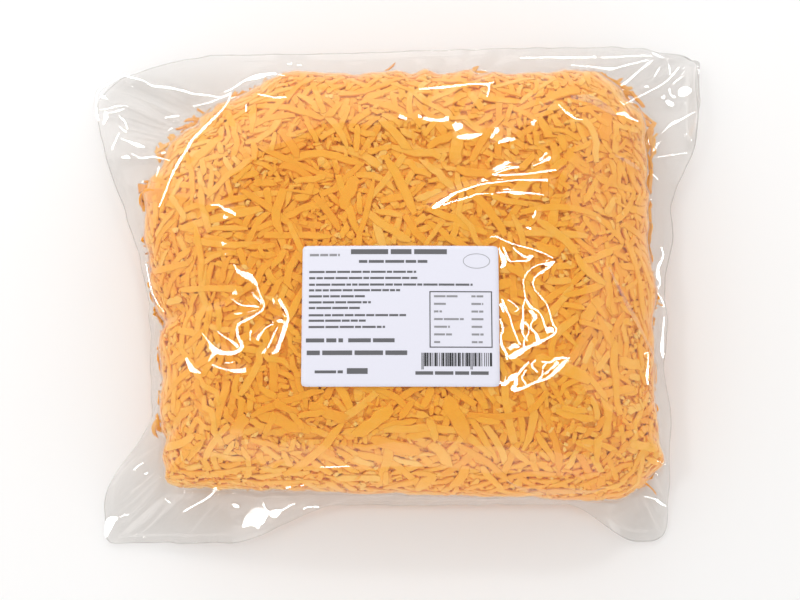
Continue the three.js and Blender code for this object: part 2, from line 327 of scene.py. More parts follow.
def foot(a, b):
    """Where the cheese ends: the body's outline, scaled a little by two sizes of
    noise."""
    x, y = outline(BODY_CORNERS, BODY_BOWS, a, b)
    uneven = value_noise(x, y, 21, 91) + 0.85 * value_noise(x, y, 8, 92)
    scale = 1 + FOOT_UNEVEN * mix(1, FOOT_CALM, ease(-b, 0.9, 1)) * uneven / FOOT_REACH
    return x * scale, y * scale


def body_face(m, a, b, upper):
    """A point of the body's upper or lower face. The outline is scaled by the
    ring, and the wall's rise blends the seam's height into the crown, or into
    the underside."""
    share = ring_of(np.minimum(m, 1))
    foot_x, foot_y = foot(a, b)
    x, y = foot_x * share - SHIFT[0], foot_y * share - SHIFT[1]
    seam = seam_height(a, b)
    if upper:
        z = mix(seam, crown_height(x, y), wall_rise(1 - share, UPPER_WALL))
    else:
        z = mix(seam, underside_lift(share, a, b), wall_rise(1 - share, LOWER_WALL))
    return np.stack([x, y, z], axis=-1)


# %% [markdown]
# Beyond the cheese the two films lie on each other. They droop from the seam to
# the hem, which hangs free at the sides and almost lies on the table at the
# corners, in folds that fan out from the body. The films part a little beside
# the cheese and in the corners, and are welded along the hem.

# %% The hem and the air between the films
HEM_AT = 1.25  # the hem's place on the grid, where the seam is at 1
HEM_HEIGHTS = {"left": 16, "right": 14, "front": 8, "back": 11}
HEM_CORNER = 3
WELD_WIDTH = 7.0
FILM_THICK = 0.04
ALWAYS_AIR = 0.3
BESIDE_CHEESE, BESIDE_REACH = 1.6, 7  # the air there, and how far out it goes
CORNER_AIR = 0.7


def hem_height(a, b):
    """The hem hangs at its own height on each side and almost lies at a corner."""
    on_side = np.abs(a) > np.abs(b)
    side = np.where(
        on_side,
        np.where(a < 0, HEM_HEIGHTS["left"], HEM_HEIGHTS["right"]),
        np.where(b < 0, HEM_HEIGHTS["front"], HEM_HEIGHTS["back"]),
    )
    return mix(side, HEM_CORNER, corner_share(a, b))


def between(reach):
    """0 at the foot and at the hem and near 1 in between: sin(pi reach)^0.6."""
    return np.sin(np.pi * reach) ** 0.6


def half_air(reach, width, ear):
    """Half of the air between the films: a share that falls off from the cheese as
    exp(-(distance / reach)^2), and one in the corners, both shut at the weld."""
    away = reach * width
    beside = BESIDE_CHEESE * np.exp(-((away / BESIDE_REACH) ** 2))
    gap = ALWAYS_AIR + beside + CORNER_AIR * between(reach) * ear
    gap = gap * (1 - ease(away, width - WELD_WIDTH, width - WELD_WIDTH + 2))
    return gap * ease(reach, 0, 0.12) + FILM_THICK


# %% [markdown]
# No two corners of a real pouch lie alike. The back right one is pulled further
# out and its edge is curled up, and the right hem waves a little.

# %% The folds, the hem's line and the margin
EAR_WRINKLE = 2.4
EAR_RIDGE = 1.1
CURL_HIGH = 9.0
CORNER_PULL = 4.8
HEM_WAVE = 1.3
HEM_UNEVEN = 0.7
HEM_REACH = 160  # from the middle to the hem, roughly
UPPER_LEAST, LOWER_LEAST = 0.4, 0.3  # no film sinks into the table


def ear_folds(x, y, a, b, reach):
    """How far a corner's folds lift the film: two waves of the heading's angle,
    which rise and fall between the body and the hem, and sharper ridges that
    follow the same angle, bent by noise."""
    angle = np.arctan2(b, a)
    wave = np.sin(angle * 34 + 1.3) * 0.6 + np.sin(angle * 53) * 0.4
    broad = EAR_WRINKLE * wave * corner_share(a, b) * np.sin(np.pi * reach)
    bent = angle * 40 + 0.4 * value_noise(x, y, 22, 81)
    sharp = ridges(bent, reach * 1.5, 1.0, 82) ** 3
    return broad, between(reach) * EAR_RIDGE * corner_share(a, b) * sharp


def hem_line_at(a, b):
    """The film's outline, with the pulled corner, the wave of the right hem and a
    little noise."""
    x, y = outline(POUCH_CORNERS, POUCH_BOWS, a, b)
    y = y + CORNER_PULL * ease(a, 0.62, 0.84) * ease(b, 0.7, 0.98)
    wave = HEM_WAVE * np.sin(b * 17 + 1) * ease(a, 0.98, 1)
    x = x - wave * (1 - ease(np.abs(b), 0.5, 0.8))
    uneven = 1 + HEM_UNEVEN * value_noise(x, y, 9, 94) / HEM_REACH
    return x * uneven, y * uneven


def margin_face(m, a, b, upper):
    """A point of the upper or lower film beyond the cheese: a blend from the foot
    to the hem, at the folds' height, plus or minus half of the air."""
    reach = np.clip((m - 1) / (HEM_AT - 1), 0, 1)
    foot_x, foot_y = foot(a, b)
    out_x, out_y = hem_line_at(a, b)
    width = np.hypot(out_x - foot_x, out_y - foot_y)
    x = mix(foot_x, out_x, reach) - SHIFT[0]
    y = mix(foot_y, out_y, reach) - SHIFT[1]
    broad, sharp = ear_folds(x, y, a, b, reach)
    z = mix(seam_height(a, b), hem_height(a, b), reach**0.8) + broad + sharp
    curl = ease(a, 0.9, 0.99) * ease(b, 0.55, 0.75) * (1 - ease(b, 0.93, 1.0))
    z = z + CURL_HIGH * curl * ease(reach, 0.8, 1.0)
    gap = half_air(reach, width, corner_share(a, b))
    z = np.maximum(z + gap, UPPER_LEAST) if upper else np.maximum(z - gap, LOWER_LEAST)
    return np.stack([x, y, z], axis=-1)


def pouch_face(s, t, upper):
    """A point of the whole film, on the body up to m = 1 and on the margin past it."""
    m, a, b = heading_of(s, t)
    on_body = body_face(m, a, b, upper)
    return np.where((m <= 1)[..., None], on_body, margin_face(m, a, b, upper))


drooping = margin_face(HEM_AT, *round_the_square(100), True)[:, 2]
print("hem", drooping.min().round(1), "to", drooping.max().round(1), "mm high")

# %% [markdown]
# ## Helpers for meshes
#
# A piece is made from arrays: points in millimetres and four-cornered faces. It
# could be modelled by hand, but arrays give the same piece each time. A few
# small helpers work on whole grids of numbers.

# %% Helpers for grids
def normalised(vectors):
    """Each vector over its length."""
    return vectors / np.maximum(np.linalg.norm(vectors, axis=-1, keepdims=True), 1e-12)


def blurred(field, times):
    """A grid field, blended with its neighbours along both axes."""
    for _ in range(times):
        padded = np.pad(field, 1, mode="edge")
        field = (padded[:-2, 1:-1] + 2 * padded[1:-1, 1:-1] + padded[2:, 1:-1]) / 4
        padded = np.pad(field, 1, mode="edge")
        field = (padded[1:-1, :-2] + 2 * padded[1:-1, 1:-1] + padded[1:-1, 2:]) / 4
    return field


def lowest_near(field):
    """For each place of a grid field, the least value of the nine round it."""
    padded = np.pad(field, 1, mode="edge")
    rows, columns = field.shape
    windows = [padded[i : i + rows, j : j + columns] for i in range(3) for j in range(3)]
    return np.min(windows, axis=0)


def grid_quads(rows, columns, wrap=False):
    """The four-cornered faces of a rows x columns grid of points, turned so that a
    grid with x along its columns and y along its rows faces up."""
    index = np.arange(rows * columns).reshape(rows, columns)
    right = np.roll(index, -1, axis=1) if wrap else index[:, 1:]
    left = index if wrap else index[:, :-1]
    return np.stack([left[:-1], right[:-1], right[1:], left[1:]], axis=-1).reshape(-1, 4)


# %% [markdown]
# Blender takes a mesh as long flat lists, which foreach_set fills in one go.
# Each piece rides on the pouch's only body and says which solid it replaces.

# %% From arrays to a piece
def add_piece(name, points, quads, material, replaced, smooth=True):
    """A finished piece at the origin, with its place in its mesh."""
    points = np.asarray(points, float).reshape(-1, 3) * MM
    quads = np.asarray(quads).reshape(-1, 4)
    mesh = bpy.data.meshes.new(name)
    mesh.vertices.add(len(points))
    mesh.vertices.foreach_set("co", points.astype(np.float32).ravel())
    mesh.loops.add(quads.size)
    mesh.loops.foreach_set("vertex_index", quads.astype(np.int32).ravel())
    mesh.polygons.add(len(quads))
    mesh.polygons.foreach_set("loop_start", np.arange(0, quads.size, 4, dtype=np.int32))
    mesh.update(calc_edges=True)
    mesh.validate()
    smooth = np.broadcast_to(smooth, len(mesh.polygons)).copy()
    mesh.polygons.foreach_set("use_smooth", smooth)
    mesh.materials.append(material)
    piece = bpy.data.objects.new(name, mesh)
    bpy.context.scene.collection.objects.link(piece)
    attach(piece, "root")
    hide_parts(replaced)
    print(name, len(points), "points,", 2 * len(quads), "triangles")
    return piece


def add_shade(piece, name, values):
    """One number for each point, which the material reads by its name."""
    attribute = piece.data.attributes.new(name, "FLOAT", "POINT")
    attribute.data.foreach_set("value", np.asarray(values, np.float32).ravel())


# %% [markdown]
# ## Finishes
#
# A finish is a small graph of nodes. Two helpers keep the graphs short: one sets
# a node's numbers by their names, and one makes a row of links.

# %% Helpers for materials
def new_material(name):
    """An empty material with its nodes and links."""
    material = bpy.data.materials.new(name)
    material.use_nodes = True
    nodes = material.node_tree.nodes
    nodes.clear()
    return material, nodes, material.node_tree.links


def set_values(node, **values):
    """Each named input, with _ for a space, set to its value."""
    for name, value in values.items():
        node.inputs[name.replace("_", " ")].default_value = value


def link_all(links, *rows):
    """Each row: a node and its output, then a node and its input."""
    for start, output, end, taken in rows:
        links.new(start.outputs[output], end.inputs[taken])


# %% [markdown]
# Cheddar is a dense orange solid with a soft, slightly moist surface that light
# enters a little, so it gets some subsurface scattering. Each shred carries a
# number, "tone", that takes it from deep orange over the usual colour to pale,
# and a fine noise mottles it. A finer noise makes its grain.

# %% The cheese's finish
CHEESE_DEEP = (0.92, 0.33, 0.012, 1)
CHEESE_USUAL = (0.98, 0.45, 0.03, 1)
CHEESE_PALE = (0.98, 0.60, 0.15, 1)
# The core's colours run a little deeper than the shreds': a painted shade for the gaps that
# look into it.
SHADED_CORE_COLOURS = [(0.92, 0.33, 0.012, 1), (0.96, 0.41, 0.02, 1), (0.98, 0.47, 0.03, 1)]
MOTTLE = 0.34  # how far the noise moves the tone, from end to end


def cheese_material(name, deep, usual, pale):
    """The tone plus the mottle picks a colour between the three."""
    material, nodes, links = new_material(name)
    output = nodes.new("ShaderNodeOutputMaterial")
    shader = nodes.new("ShaderNodeBsdfPrincipled")
    tone = nodes.new("ShaderNodeAttribute")
    place = nodes.new("ShaderNodeTexCoord")
    mottle = nodes.new("ShaderNodeTexNoise")
    spread = nodes.new("ShaderNodeMath")
    total = nodes.new("ShaderNodeMath")
    ramp = nodes.new("ShaderNodeValToRGB")
    grain = nodes.new("ShaderNodeTexNoise")
    bump = nodes.new("ShaderNodeBump")
    tone.attribute_name = "tone"
    set_values(mottle, Scale=260.0, Detail=3.0, Roughness=0.6)
    spread.operation = "MULTIPLY_ADD"
    spread.inputs[1].default_value = MOTTLE
    spread.inputs[2].default_value = -MOTTLE / 2
    total.operation = "ADD"
    ramp.color_ramp.elements[0].color = deep
    ramp.color_ramp.elements[1].color = pale
    middle = ramp.color_ramp.elements.new(0.5)
    middle.color = usual
    set_values(grain, Scale=1500.0, Detail=4.0, Roughness=0.65)
    set_values(bump, Strength=0.25, Distance=0.0004)
    set_values(shader, Roughness=0.46, IOR=1.45, Specular_IOR_Level=0.35)
    set_values(shader, Subsurface_Weight=0.15, Subsurface_Scale=0.0013)
    set_values(shader, Subsurface_Radius=(1.0, 0.5, 0.12))
    link_all(
        links,
        (place, "Object", mottle, "Vector"),
        (place, "Object", grain, "Vector"),
        (mottle, "Fac", spread, 0),
        (tone, "Fac", total, 0),
        (spread, "Value", total, 1),
        (total, "Value", ramp, "Fac"),
        (ramp, "Color", shader, "Base Color"),
        (grain, "Fac", bump, "Height"),
        (bump, "Normal", shader, "Normal"),
        (shader, "BSDF", output, "Surface"),
    )
    return material


CHEESE = cheese_material("cheddar", CHEESE_DEEP, CHEESE_USUAL, CHEESE_PALE)
SHADED_CORE_CHEESE = cheese_material("pressed_cheddar_painted_shade", *SHADED_CORE_COLOURS)
print("finishes", CHEESE.name, SHADED_CORE_CHEESE.name)

# %% [markdown]
# The film is clear and very glossy. What is behind it shows through at a slight
# loss, and a share of the light, larger at a grazing angle, is mirrored. A thin
# film like this doesn't bend what is seen through it, so the finish is a mix of
# a transparent and a glossy shader, and not a block of glass. The mirrored share
# is a constant plus the fifth power of how much the film turns from the eye, as
# on a real gloss. Where two films lie on each other they look a little grey and
# milky, so the margin and its thick folds let less through. The welded edge lets
# still less through: partly for its own thickness, and partly as a painted shade
# of the edge seen edge-on.

# %% The film's finish
GRAZING = 0.85  # the mirrored share that a grazing view adds


def film_material(name, let_through, milky, mirrored=0.05):
    """Clear, with a milky share, and over both the mirrored share."""
    material, nodes, links = new_material(name)
    output = nodes.new("ShaderNodeOutputMaterial")
    clear = nodes.new("ShaderNodeBsdfTransparent")
    gloss = nodes.new("ShaderNodeBsdfGlossy")
    milk = nodes.new("ShaderNodeBsdfDiffuse")
    facing = nodes.new("ShaderNodeLayerWeight")
    steep = nodes.new("ShaderNodeMath")
    share = nodes.new("ShaderNodeMath")
    body = nodes.new("ShaderNodeMixShader")
    whole = nodes.new("ShaderNodeMixShader")
    place = nodes.new("ShaderNodeTexCoord")
    crinkle = nodes.new("ShaderNodeTexNoise")
    bump = nodes.new("ShaderNodeBump")
    set_values(clear, Color=let_through)
    set_values(gloss, Color=(1, 1, 1, 1), Roughness=0.06)
    set_values(milk, Color=(0.93, 0.91, 0.88, 1))
    set_values(facing, Blend=0.5)
    steep.operation = "POWER"
    steep.inputs[1].default_value = 5.0
    share.operation = "MULTIPLY_ADD"
    share.use_clamp = True
    share.inputs[1].default_value = GRAZING
    share.inputs[2].default_value = mirrored
    body.inputs["Fac"].default_value = milky
    set_values(crinkle, Scale=170.0, Detail=2.0, Roughness=0.5)
    set_values(bump, Strength=0.05, Distance=0.001)
    link_all(
        links,
        (place, "Object", crinkle, "Vector"),
        (crinkle, "Fac", bump, "Height"),
        (bump, "Normal", gloss, "Normal"),
        (facing, "Facing", steep, 0),
        (steep, "Value", share, 0),
        (clear, "BSDF", body, 1),
        (milk, "BSDF", body, 2),
        (share, "Value", whole, "Fac"),
        (body, "Shader", whole, 1),
        (gloss, "BSDF", whole, 2),
        (whole, "Shader", output, "Surface"),
    )
    return material


FILM = film_material("clear_film", (0.99, 0.985, 0.98, 1), 0.006)
# The welded edge lets less through, partly for its thickness and partly as a painted shade.
WELD_AND_SHADE_FILM = film_material("welded_film_and_painted_shade", (0.72, 0.71, 0.70, 1), 0.06)
MARGIN_FILM = film_material("double_film", (0.93, 0.925, 0.92, 1), 0.10)
FOLDED_FILM = film_material("folded_film", (1.0, 0.97, 0.93, 1), 0.13)
print("finishes", FILM.name, WELD_AND_SHADE_FILM.name, MARGIN_FILM.name, FOLDED_FILM.name)

# %% [markdown]
# The label is smooth paper, white with a cool cast. Its print is a soft black and
# two greys. All four are one finish: a colour that fine fibres darken by a
# thirtieth, and a very low bump.

# %% The label's finishes
FIBRE_SHADE = 0.97


def paper_material(name, colour, roughness):
    """The colour, mixed by a fine noise with the same colour a little darker."""
    material, nodes, links = new_material(name)
    output = nodes.new("ShaderNodeOutputMaterial")
    shader = nodes.new("ShaderNodeBsdfPrincipled")
    place = nodes.new("ShaderNodeTexCoord")
    fibre = nodes.new("ShaderNodeTexNoise")
    tint = nodes.new("ShaderNodeMix")
    bump = nodes.new("ShaderNodeBump")
    set_values(fibre, Scale=900.0, Detail=4.0)
    tint.data_type = "RGBA"
    tint.inputs["A"].default_value = tuple(FIBRE_SHADE * part for part in colour) + (1,)
    tint.inputs["B"].default_value = colour + (1,)
    set_values(bump, Strength=0.06, Distance=0.0002)
    set_values(shader, Roughness=roughness)
    link_all(
        links,
        (place, "Object", fibre, "Vector"),
        (fibre, "Fac", tint, "Factor"),
        (tint, "Result", shader, "Base Color"),
        (fibre, "Fac", bump, "Height"),
        (bump, "Normal", shader, "Normal"),
        (shader, "BSDF", output, "Surface"),
    )
    return material


PAPER = paper_material("label_paper", (0.82, 0.82, 0.92), 0.5)
INK = paper_material("label_ink", (0.03, 0.03, 0.035), 0.6)
ROW_INK = paper_material("label_row_ink", (0.13, 0.13, 0.14), 0.6)
FAINT_INK = paper_material("label_faint_ink", (0.30, 0.30, 0.32), 0.6)
print("finishes", PAPER.name, INK.name, ROW_INK.name, FAINT_INK.name)

# %% [markdown]
# ## Walking over a face
#
# A shred lies along the film, whatever way the film curves. So each face is
# worked out once on a fine grid, and a shred is a walk on it: from a start, in
# a direction, in equal steps of real length. At each step the direction is laid
# back into the face and turned a little. All shreds walk at once, as arrays.

# %% A face that can be walked on
FACE_CELLS = 540


def cell_of(s):
    """A place from -HEM_AT to HEM_AT, counted in cells of the grid."""
    return (s / HEM_AT + 1) / 2 * FACE_CELLS


class Face:
    """The film's upper or lower side as points, slopes and normals on a grid."""

    def __init__(self, upper):
        t = np.linspace(-HEM_AT, HEM_AT, FACE_CELLS + 1)
        s_grid, t_grid = np.meshgrid(t, t)
        self.points = pouch_face(s_grid, t_grid, upper)
        step = 2 * HEM_AT / FACE_CELLS
        self.slope_t, self.slope_s = np.gradient(self.points, step, axis=(0, 1))
        turned = np.cross(self.slope_s, self.slope_t)
        self.normals = normalised(turned if upper else -turned)

    def sample(self, field, s, t):
        """A grid field at any place, blended between the four nearest points."""
        u = np.clip(cell_of(s), 0, FACE_CELLS - 1e-6)
        v = np.clip(cell_of(t), 0, FACE_CELLS - 1e-6)
        i, j = u.astype(int), v.astype(int)
        fu, fv = (u - i)[..., None], (v - j)[..., None]
        low = mix(field[j, i], field[j, i + 1], fu)
        high = mix(field[j + 1, i], field[j + 1, i + 1], fu)
        return mix(low, high, fv)

    def moved(self, s, t, way):
        """How far s and t change for a small move in the face: the move, shared out
        between the two slopes by the two equations of its dot products."""
        slope_s, slope_t = self.sample(self.slope_s, s, t), self.sample(self.slope_t, s, t)
        ss, tt = (slope_s**2).sum(-1), (slope_t**2).sum(-1)
        st = (slope_s * slope_t).sum(-1)
        ws, wt = (way * slope_s).sum(-1), (way * slope_t).sum(-1)
        scale = 1 / np.maximum(ss * tt - st * st, 1e-6)
        return (ws * tt - wt * st) * scale, (wt * ss - ws * st) * scale

    def walk(self, s, t, heading, length, bend, stations):
        """Each shred's places (s, t) and directions at its stations."""
        normal = normalised(self.sample(self.normals, s, t))
        east = normalised(np.cross(np.array([0, 1.0, 0]), normal))
        north = np.cross(normal, east)
        way = np.cos(heading)[:, None] * east + np.sin(heading)[:, None] * north
        places, ways = [], []
        for station in range(stations):
            normal = normalised(self.sample(self.normals, s, t))
            way = normalised(way - normal * (way * normal).sum(-1, keepdims=True))
            aside = np.cross(normal, way)
            places.append(np.stack([s, t], axis=-1))
            ways.append(way)
            ds, dt = self.moved(s, t, way * (length / (stations - 1))[:, None])
            s, t = s + ds, t + dt
            turn = (bend / (stations - 1))[:, None]
            way = way * np.cos(turn) + aside * np.sin(turn)
        return np.stack(places, axis=1), np.stack(ways, axis=1)


UPPER, LOWER = Face(True), Face(False)
print("faces with", UPPER.points.shape[:2], "points each")

# %% [markdown]
# ## How the shreds settle
#
# Inside the pouch the outermost shreds lie flat against the film, and the rest
# show in the gaps between them. So the shreds are laid from the film inwards. A
# grid keeps how deep each spot is already filled. A new shred dips under what is
# there, smoothly along its length, and comes back up to the film where it is
# free. Early shreds are kept only where they find free film, and later ones may
# lie ever deeper.

# %% Shreds before they settle
STATIONS = 7
FINE = 5  # places tested between two stations
LANES = 7
SHRED_THICK = (1.2, 1.9)
DRIFT_SIZE, DRIFT_TURN = 34, 2.2  # neighbours lie roughly the same way
HEADING_SPREAD = 0.8
PATCH_SIZE, PATCH_TONE = 55, 0.12  # and are a little paler or deeper together
RING_SLACK = 0.02  # how far past its ring a shred may reach


class Strewn:
    """Shreds of one kind, with their places on a face and their sizes."""

    def __init__(self, face, count, lengths, widths, bend, ring, tone, seed):
        draw = np.random.default_rng(seed)
        s, t = draw.uniform(-ring[1], ring[1], (2, count))
        m = np.maximum(np.abs(s), np.abs(t))
        s, t = s[m > ring[0]], t[m > ring[0]]
        count = len(s)
        length = draw.triangular(*lengths, count)
        x, y = (face.sample(face.points, s, t)[:, axis] for axis in (0, 1))
        drift = value_noise(x, y, DRIFT_SIZE, seed + 1) * DRIFT_TURN
        heading = drift + draw.normal(0, HEADING_SPREAD, count)
        turns = draw.normal(0, bend, count)
        places, ways = face.walk(s, t, heading, length, turns, STATIONS)
        inside = (np.abs(places) < ring[1] + RING_SLACK).all(axis=(1, 2))
        self.places, self.ways = places[inside], ways[inside]
        kept = int(inside.sum())
        self.width = draw.uniform(*widths, kept)
        self.thick = draw.uniform(*SHRED_THICK, kept)
        patches = PATCH_TONE * value_noise(x, y, PATCH_SIZE, 7)[inside]
        self.tone = draw.normal(*tone, kept) + patches
        self.depth = np.zeros((kept, STATIONS))
        self.face = face
        self.last = 1.0

    def cells(self):
        """The grid cells under each shred: its places, refined along its length,
        with lanes beside them."""
        fine = (STATIONS - 1) * FINE + 1
        at = np.linspace(0, STATIONS - 1, fine)
        i = np.minimum(at.astype(int), STATIONS - 2)
        share = (at - i)[None, :, None]
        places = mix(self.places[:, i], self.places[:, i + 1], share)
        ways = normalised(mix(self.ways[:, i], self.ways[:, i + 1], share))
        s, t = places[..., 0], places[..., 1]
        aside = np.cross(normalised(self.face.sample(self.face.normals, s, t)), ways)
        ds, dt = self.face.moved(s, t, aside)
        lanes = np.linspace(-0.5, 0.5, LANES)[None, None, :] * self.width[:, None, None]
        column, row = (
            np.clip(cell_of(at + step * lanes).round().astype(int), 0, FACE_CELLS)
            for at, step in ((s[..., None], ds[..., None]), (t[..., None], dt[..., None]))
        )
        return row * (FACE_CELLS + 1) + column

    def keep(self, chosen):
        """Only the chosen shreds, in every list."""
        for name in ("places", "ways", "width", "thick", "tone", "depth"):
            setattr(self, name, getattr(self, name)[chosen])


# %% [markdown]
# Every shred is tried once, in one drawn order for all kinds. The grid's depths
# under it are smoothed along its length, because a shred bends softly. It is
# kept where they are small enough for its turn, and then fills the grid by a
# share of its own thickness, as shreds are pressed into each other.

# %% Settling
PRESSED_STEP = 0.28  # the share of its thickness by which a shred hides the next
EMPTY_DEPTH = 9.0
FIRST_DEPTH = 0.3
LEAST_CLEAR = 0.6  # a shred may cut this deep into one that it crosses
MIDDLE_CELLS = slice(150, 390)
DEPTHS_TOLD = (0.8, 1.6, 3, 8)


def smoothed(values, times):
    """Each value blended with its neighbours, again and again, ends held."""
    for _ in range(times):
        padded = np.pad(values, 1, mode="edge")
        values = (padded[:-2] + 2 * padded[1:-1] + padded[2:]) / 4
    return values


def settle(kinds, deepest, seed):
    """Lay the kinds' shreds in one mixed order and return, for each grid cell, the
    depth of the first shred that is met there. A shred may lie under others by
    deepest * (its turn)^2, on average, so the early ones take the free film."""
    filled = np.zeros((FACE_CELLS + 1) ** 2)
    first_met = np.full((FACE_CELLS + 1) ** 2, EMPTY_DEPTH)
    draw = np.random.default_rng(seed)
    order = [(k, i) for k, kind in enumerate(kinds) for i in range(len(kind.width))]
    rank = np.concatenate([draw.random(len(kind.width)) * kind.last for kind in kinds])
    order = [order[i] for i in np.argsort(rank)]
    cells = [kind.cells() for kind in kinds]
    kept = [np.zeros(len(kind.width), bool) for kind in kinds]
    for turn, (k, i) in enumerate(order):
        cell = cells[k][i]
        under = filled[cell].max(axis=1)
        allowed = FIRST_DEPTH + deepest * (turn / len(order)) ** 2
        if under.mean() > allowed:
            continue
        eased = smoothed(np.maximum(under, smoothed(under, 3)), 4)
        depth = np.maximum(eased, under - LEAST_CLEAR)
        full = depth + PRESSED_STEP * kinds[k].thick[i]
        np.maximum.at(filled, cell.ravel(), np.repeat(full, LANES))
        np.minimum.at(first_met, cell.ravel(), np.repeat(depth, LANES))
        kinds[k].depth[i] = depth[::FINE]
        kept[k][i] = True
    for kind, chosen in zip(kinds, kept):
        kind.keep(chosen)
    first_met = first_met.reshape(FACE_CELLS + 1, FACE_CELLS + 1)
    inner = first_met[MIDDLE_CELLS, MIDDLE_CELLS]
    shares = [round(float((inner > depth).mean()), 3) for depth in DEPTHS_TOLD]
    print("laid", [len(kind.width) for kind in kinds], "of each kind")
    print("share of the middle deeper than", DEPTHS_TOLD, "mm:", shares)
    return first_met


# %% [markdown]
# ## One shred
#
# A grated shred is a flat ribbon with cut edges and torn ends. Its section has a
# flat top and bottom and a pointed edge on either side, and is carried along the
# walk. The top and bottom are shaded flat, so that they look cut and pressed,
# and the edges round.

# %% Ribbons as one mesh
SECTION = [(-0.8, -1), (0.8, -1), (1, 0.15), (0.78, 1), (-0.78, 1), (-1, 0.15)]
SECTION = np.array(SECTION) / 2
FILM_GAP = 0.25
RAGGED = 0.7  # how far a torn end's corners stand out or back
TORN_WIDTH = (0.4, 0.95)  # shares of the shred's width at its ends
END_THICK = 0.8
UNEVEN_WIDTH, WANDER = 0.08, 0.04  # shares of the width too


def ribbon_mesh(kind, seed):
    """Points and faces of all shreds of a kind: place, minus the normal times the
    depth, plus the section's corners along the side and the normal."""
    draw = np.random.default_rng(seed)
    face, count = kind.face, len(kind.width)
    s, t = kind.places[..., 0], kind.places[..., 1]
    normal = normalised(face.sample(face.normals, s, t))
    aside = np.cross(normal, kind.ways)
    middle = face.sample(face.points, s, t)
    middle = middle - normal * (FILM_GAP + kind.depth + kind.thick[:, None] / 2)[..., None]
    at_end = np.zeros(STATIONS)
    at_end[[0, -1]] = 1
    torn = draw.uniform(*TORN_WIDTH, (count, STATIONS))
    taper = mix(1, torn, at_end)
    uneven = 1 + draw.normal(0, UNEVEN_WIDTH, (count, STATIONS))
    wide = (kind.width[:, None] * taper * uneven)[..., None, None]
    thick = (kind.thick[:, None] * mix(1, END_THICK, at_end))[..., None, None]
    across = SECTION[:, 0][None, None, :, None] * wide * aside[:, :, None]
    lift = SECTION[:, 1][None, None, :, None] * thick * normal[:, :, None]
    ragged = draw.normal(0, RAGGED, (count, STATIONS, len(SECTION), 1))
    ragged = ragged * at_end[:, None, None]
    drift = draw.normal(0, WANDER, (count, STATIONS, 1, 1))
    drift = drift * kind.width[:, None, None, None]
    points = middle[:, :, None] + across + lift + ragged * kind.ways[:, :, None]
    points = (points + drift * aside[:, :, None]).reshape(-1, 3)
    quads, smooth = ribbon_faces(count)
    return points, quads, np.repeat(kind.tone, STATIONS * len(SECTION)), smooth


def ribbon_faces(count):
    """Each ribbon's faces: the bands between its stations, two at each end, and
    whether each is smooth, as all are but the flat top and bottom and the ends."""
    sides = len(SECTION)
    one = np.arange(STATIONS * sides).reshape(STATIONS, sides)
    following = np.roll(one, -1, axis=1)
    tube = np.stack([one[:-1], following[:-1], following[1:], one[1:]], axis=-1)
    cap = np.array([(0, 3, 2, 1), (0, 5, 4, 3)])
    last = (STATIONS - 1) * sides
    quads = np.concatenate([tube.reshape(-1, 4), cap, last + cap[:, ::-1]])
    round_edge = np.ones((STATIONS - 1, sides), bool)
    round_edge[:, [0, 3]] = False
    smooth = np.concatenate([round_edge.ravel(), np.zeros(4, bool)])
    all_quads = quads[None] + (np.arange(count) * STATIONS * sides)[:, None, None]
    return all_quads.reshape(-1, 4), np.tile(smooth, count)


def add_shreds(name, kind, seed):
    """One kind of shred as one piece, with its tone."""
    points, quads, tone, smooth = ribbon_mesh(kind, seed)
    piece = add_piece(name, points, quads, CHEESE, "bag", smooth)
    add_shade(piece, "tone", tone)
    return piece


# %% [markdown]
# Real shreds come as long ones, short ones, a few wide slabs, small bits and pale
# crumbs. Each kind is strewn over the face with lengths from a triangular draw
# and widths between two limits. Slabs come early, so that some lie on top.

# %% Lay the shreds against the upper and the lower film
THIN = 1
USUAL, PALE = (0.5, 0.12), (1.05, 0.12)  # tones: their mean and spread


def strew(face, count, lengths, widths, bend, ring, tone, seed):
    return Strewn(face, int(count * THIN), lengths, widths, bend, ring, tone, seed)


ON_BODY, UNDER_BODY = (0, 0.985), (0, 0.94)
long_shreds = strew(UPPER, 9000, (18, 26, 50), (3.4, 4.9), 0.5, ON_BODY, USUAL, 31)
short_shreds = strew(UPPER, 9000, (7, 12, 20), (2.8, 4.4), 0.35, ON_BODY, USUAL, 32)
slabs = strew(UPPER, 500, (12, 20, 34), (5.2, 8), 0.3, ON_BODY, USUAL, 33)
slabs.last = 0.35
bits = strew(UPPER, 5900, (2.5, 4, 8), (1.5, 3.0), 0.3, ON_BODY, USUAL, 39)
crumbs = strew(UPPER, 1200, (1.6, 2.4, 4), (1.5, 2.8), 0.1, ON_BODY, PALE, 36)
met_above = settle([long_shreds, short_shreds, slabs, bits, crumbs], 2.7, 41)
under_long = strew(LOWER, 4200, (18, 27, 48), (3.4, 5.2), 0.5, UNDER_BODY, USUAL, 34)
under_short = strew(LOWER, 3000, (7, 12, 20), (2.6, 4.4), 0.35, UNDER_BODY, USUAL, 35)
settle([under_long, under_short], 2.0, 42)
add_shreds("long_shreds", long_shreds, 51)
add_shreds("short_shreds", short_shreds, 52)
add_shreds("slab_shreds", slabs, 53)
add_shreds("small_bits", bits, 59)
add_shreds("pale_crumbs", crumbs, 56)
add_shreds("underside_long_shreds", under_long, 54)
add_shreds("underside_short_shreds", under_short, 55)

# %% [markdown]
# Some shreds have slipped out between the two films, mostly close to the body,
# and they lift the films about themselves. Most are strewn as the others are.
# Those that stand apart are laid one by one: small clumps at the corners, thin
# single shreds beside them, and a double slab at the left.

# %% Laying single shreds
def face_place(face, pixel):
    """The place (s, t) on a face that a pixel of the photograph shows."""
    x, y = seen_at(face.points)
    nearest = np.hypot(x - pixel[0], y - pixel[1]).argmin()
    row, column = np.unravel_index(nearest, x.shape)
    return (2 * np.array([column, row]) / FACE_CELLS - 1) * HEM_AT


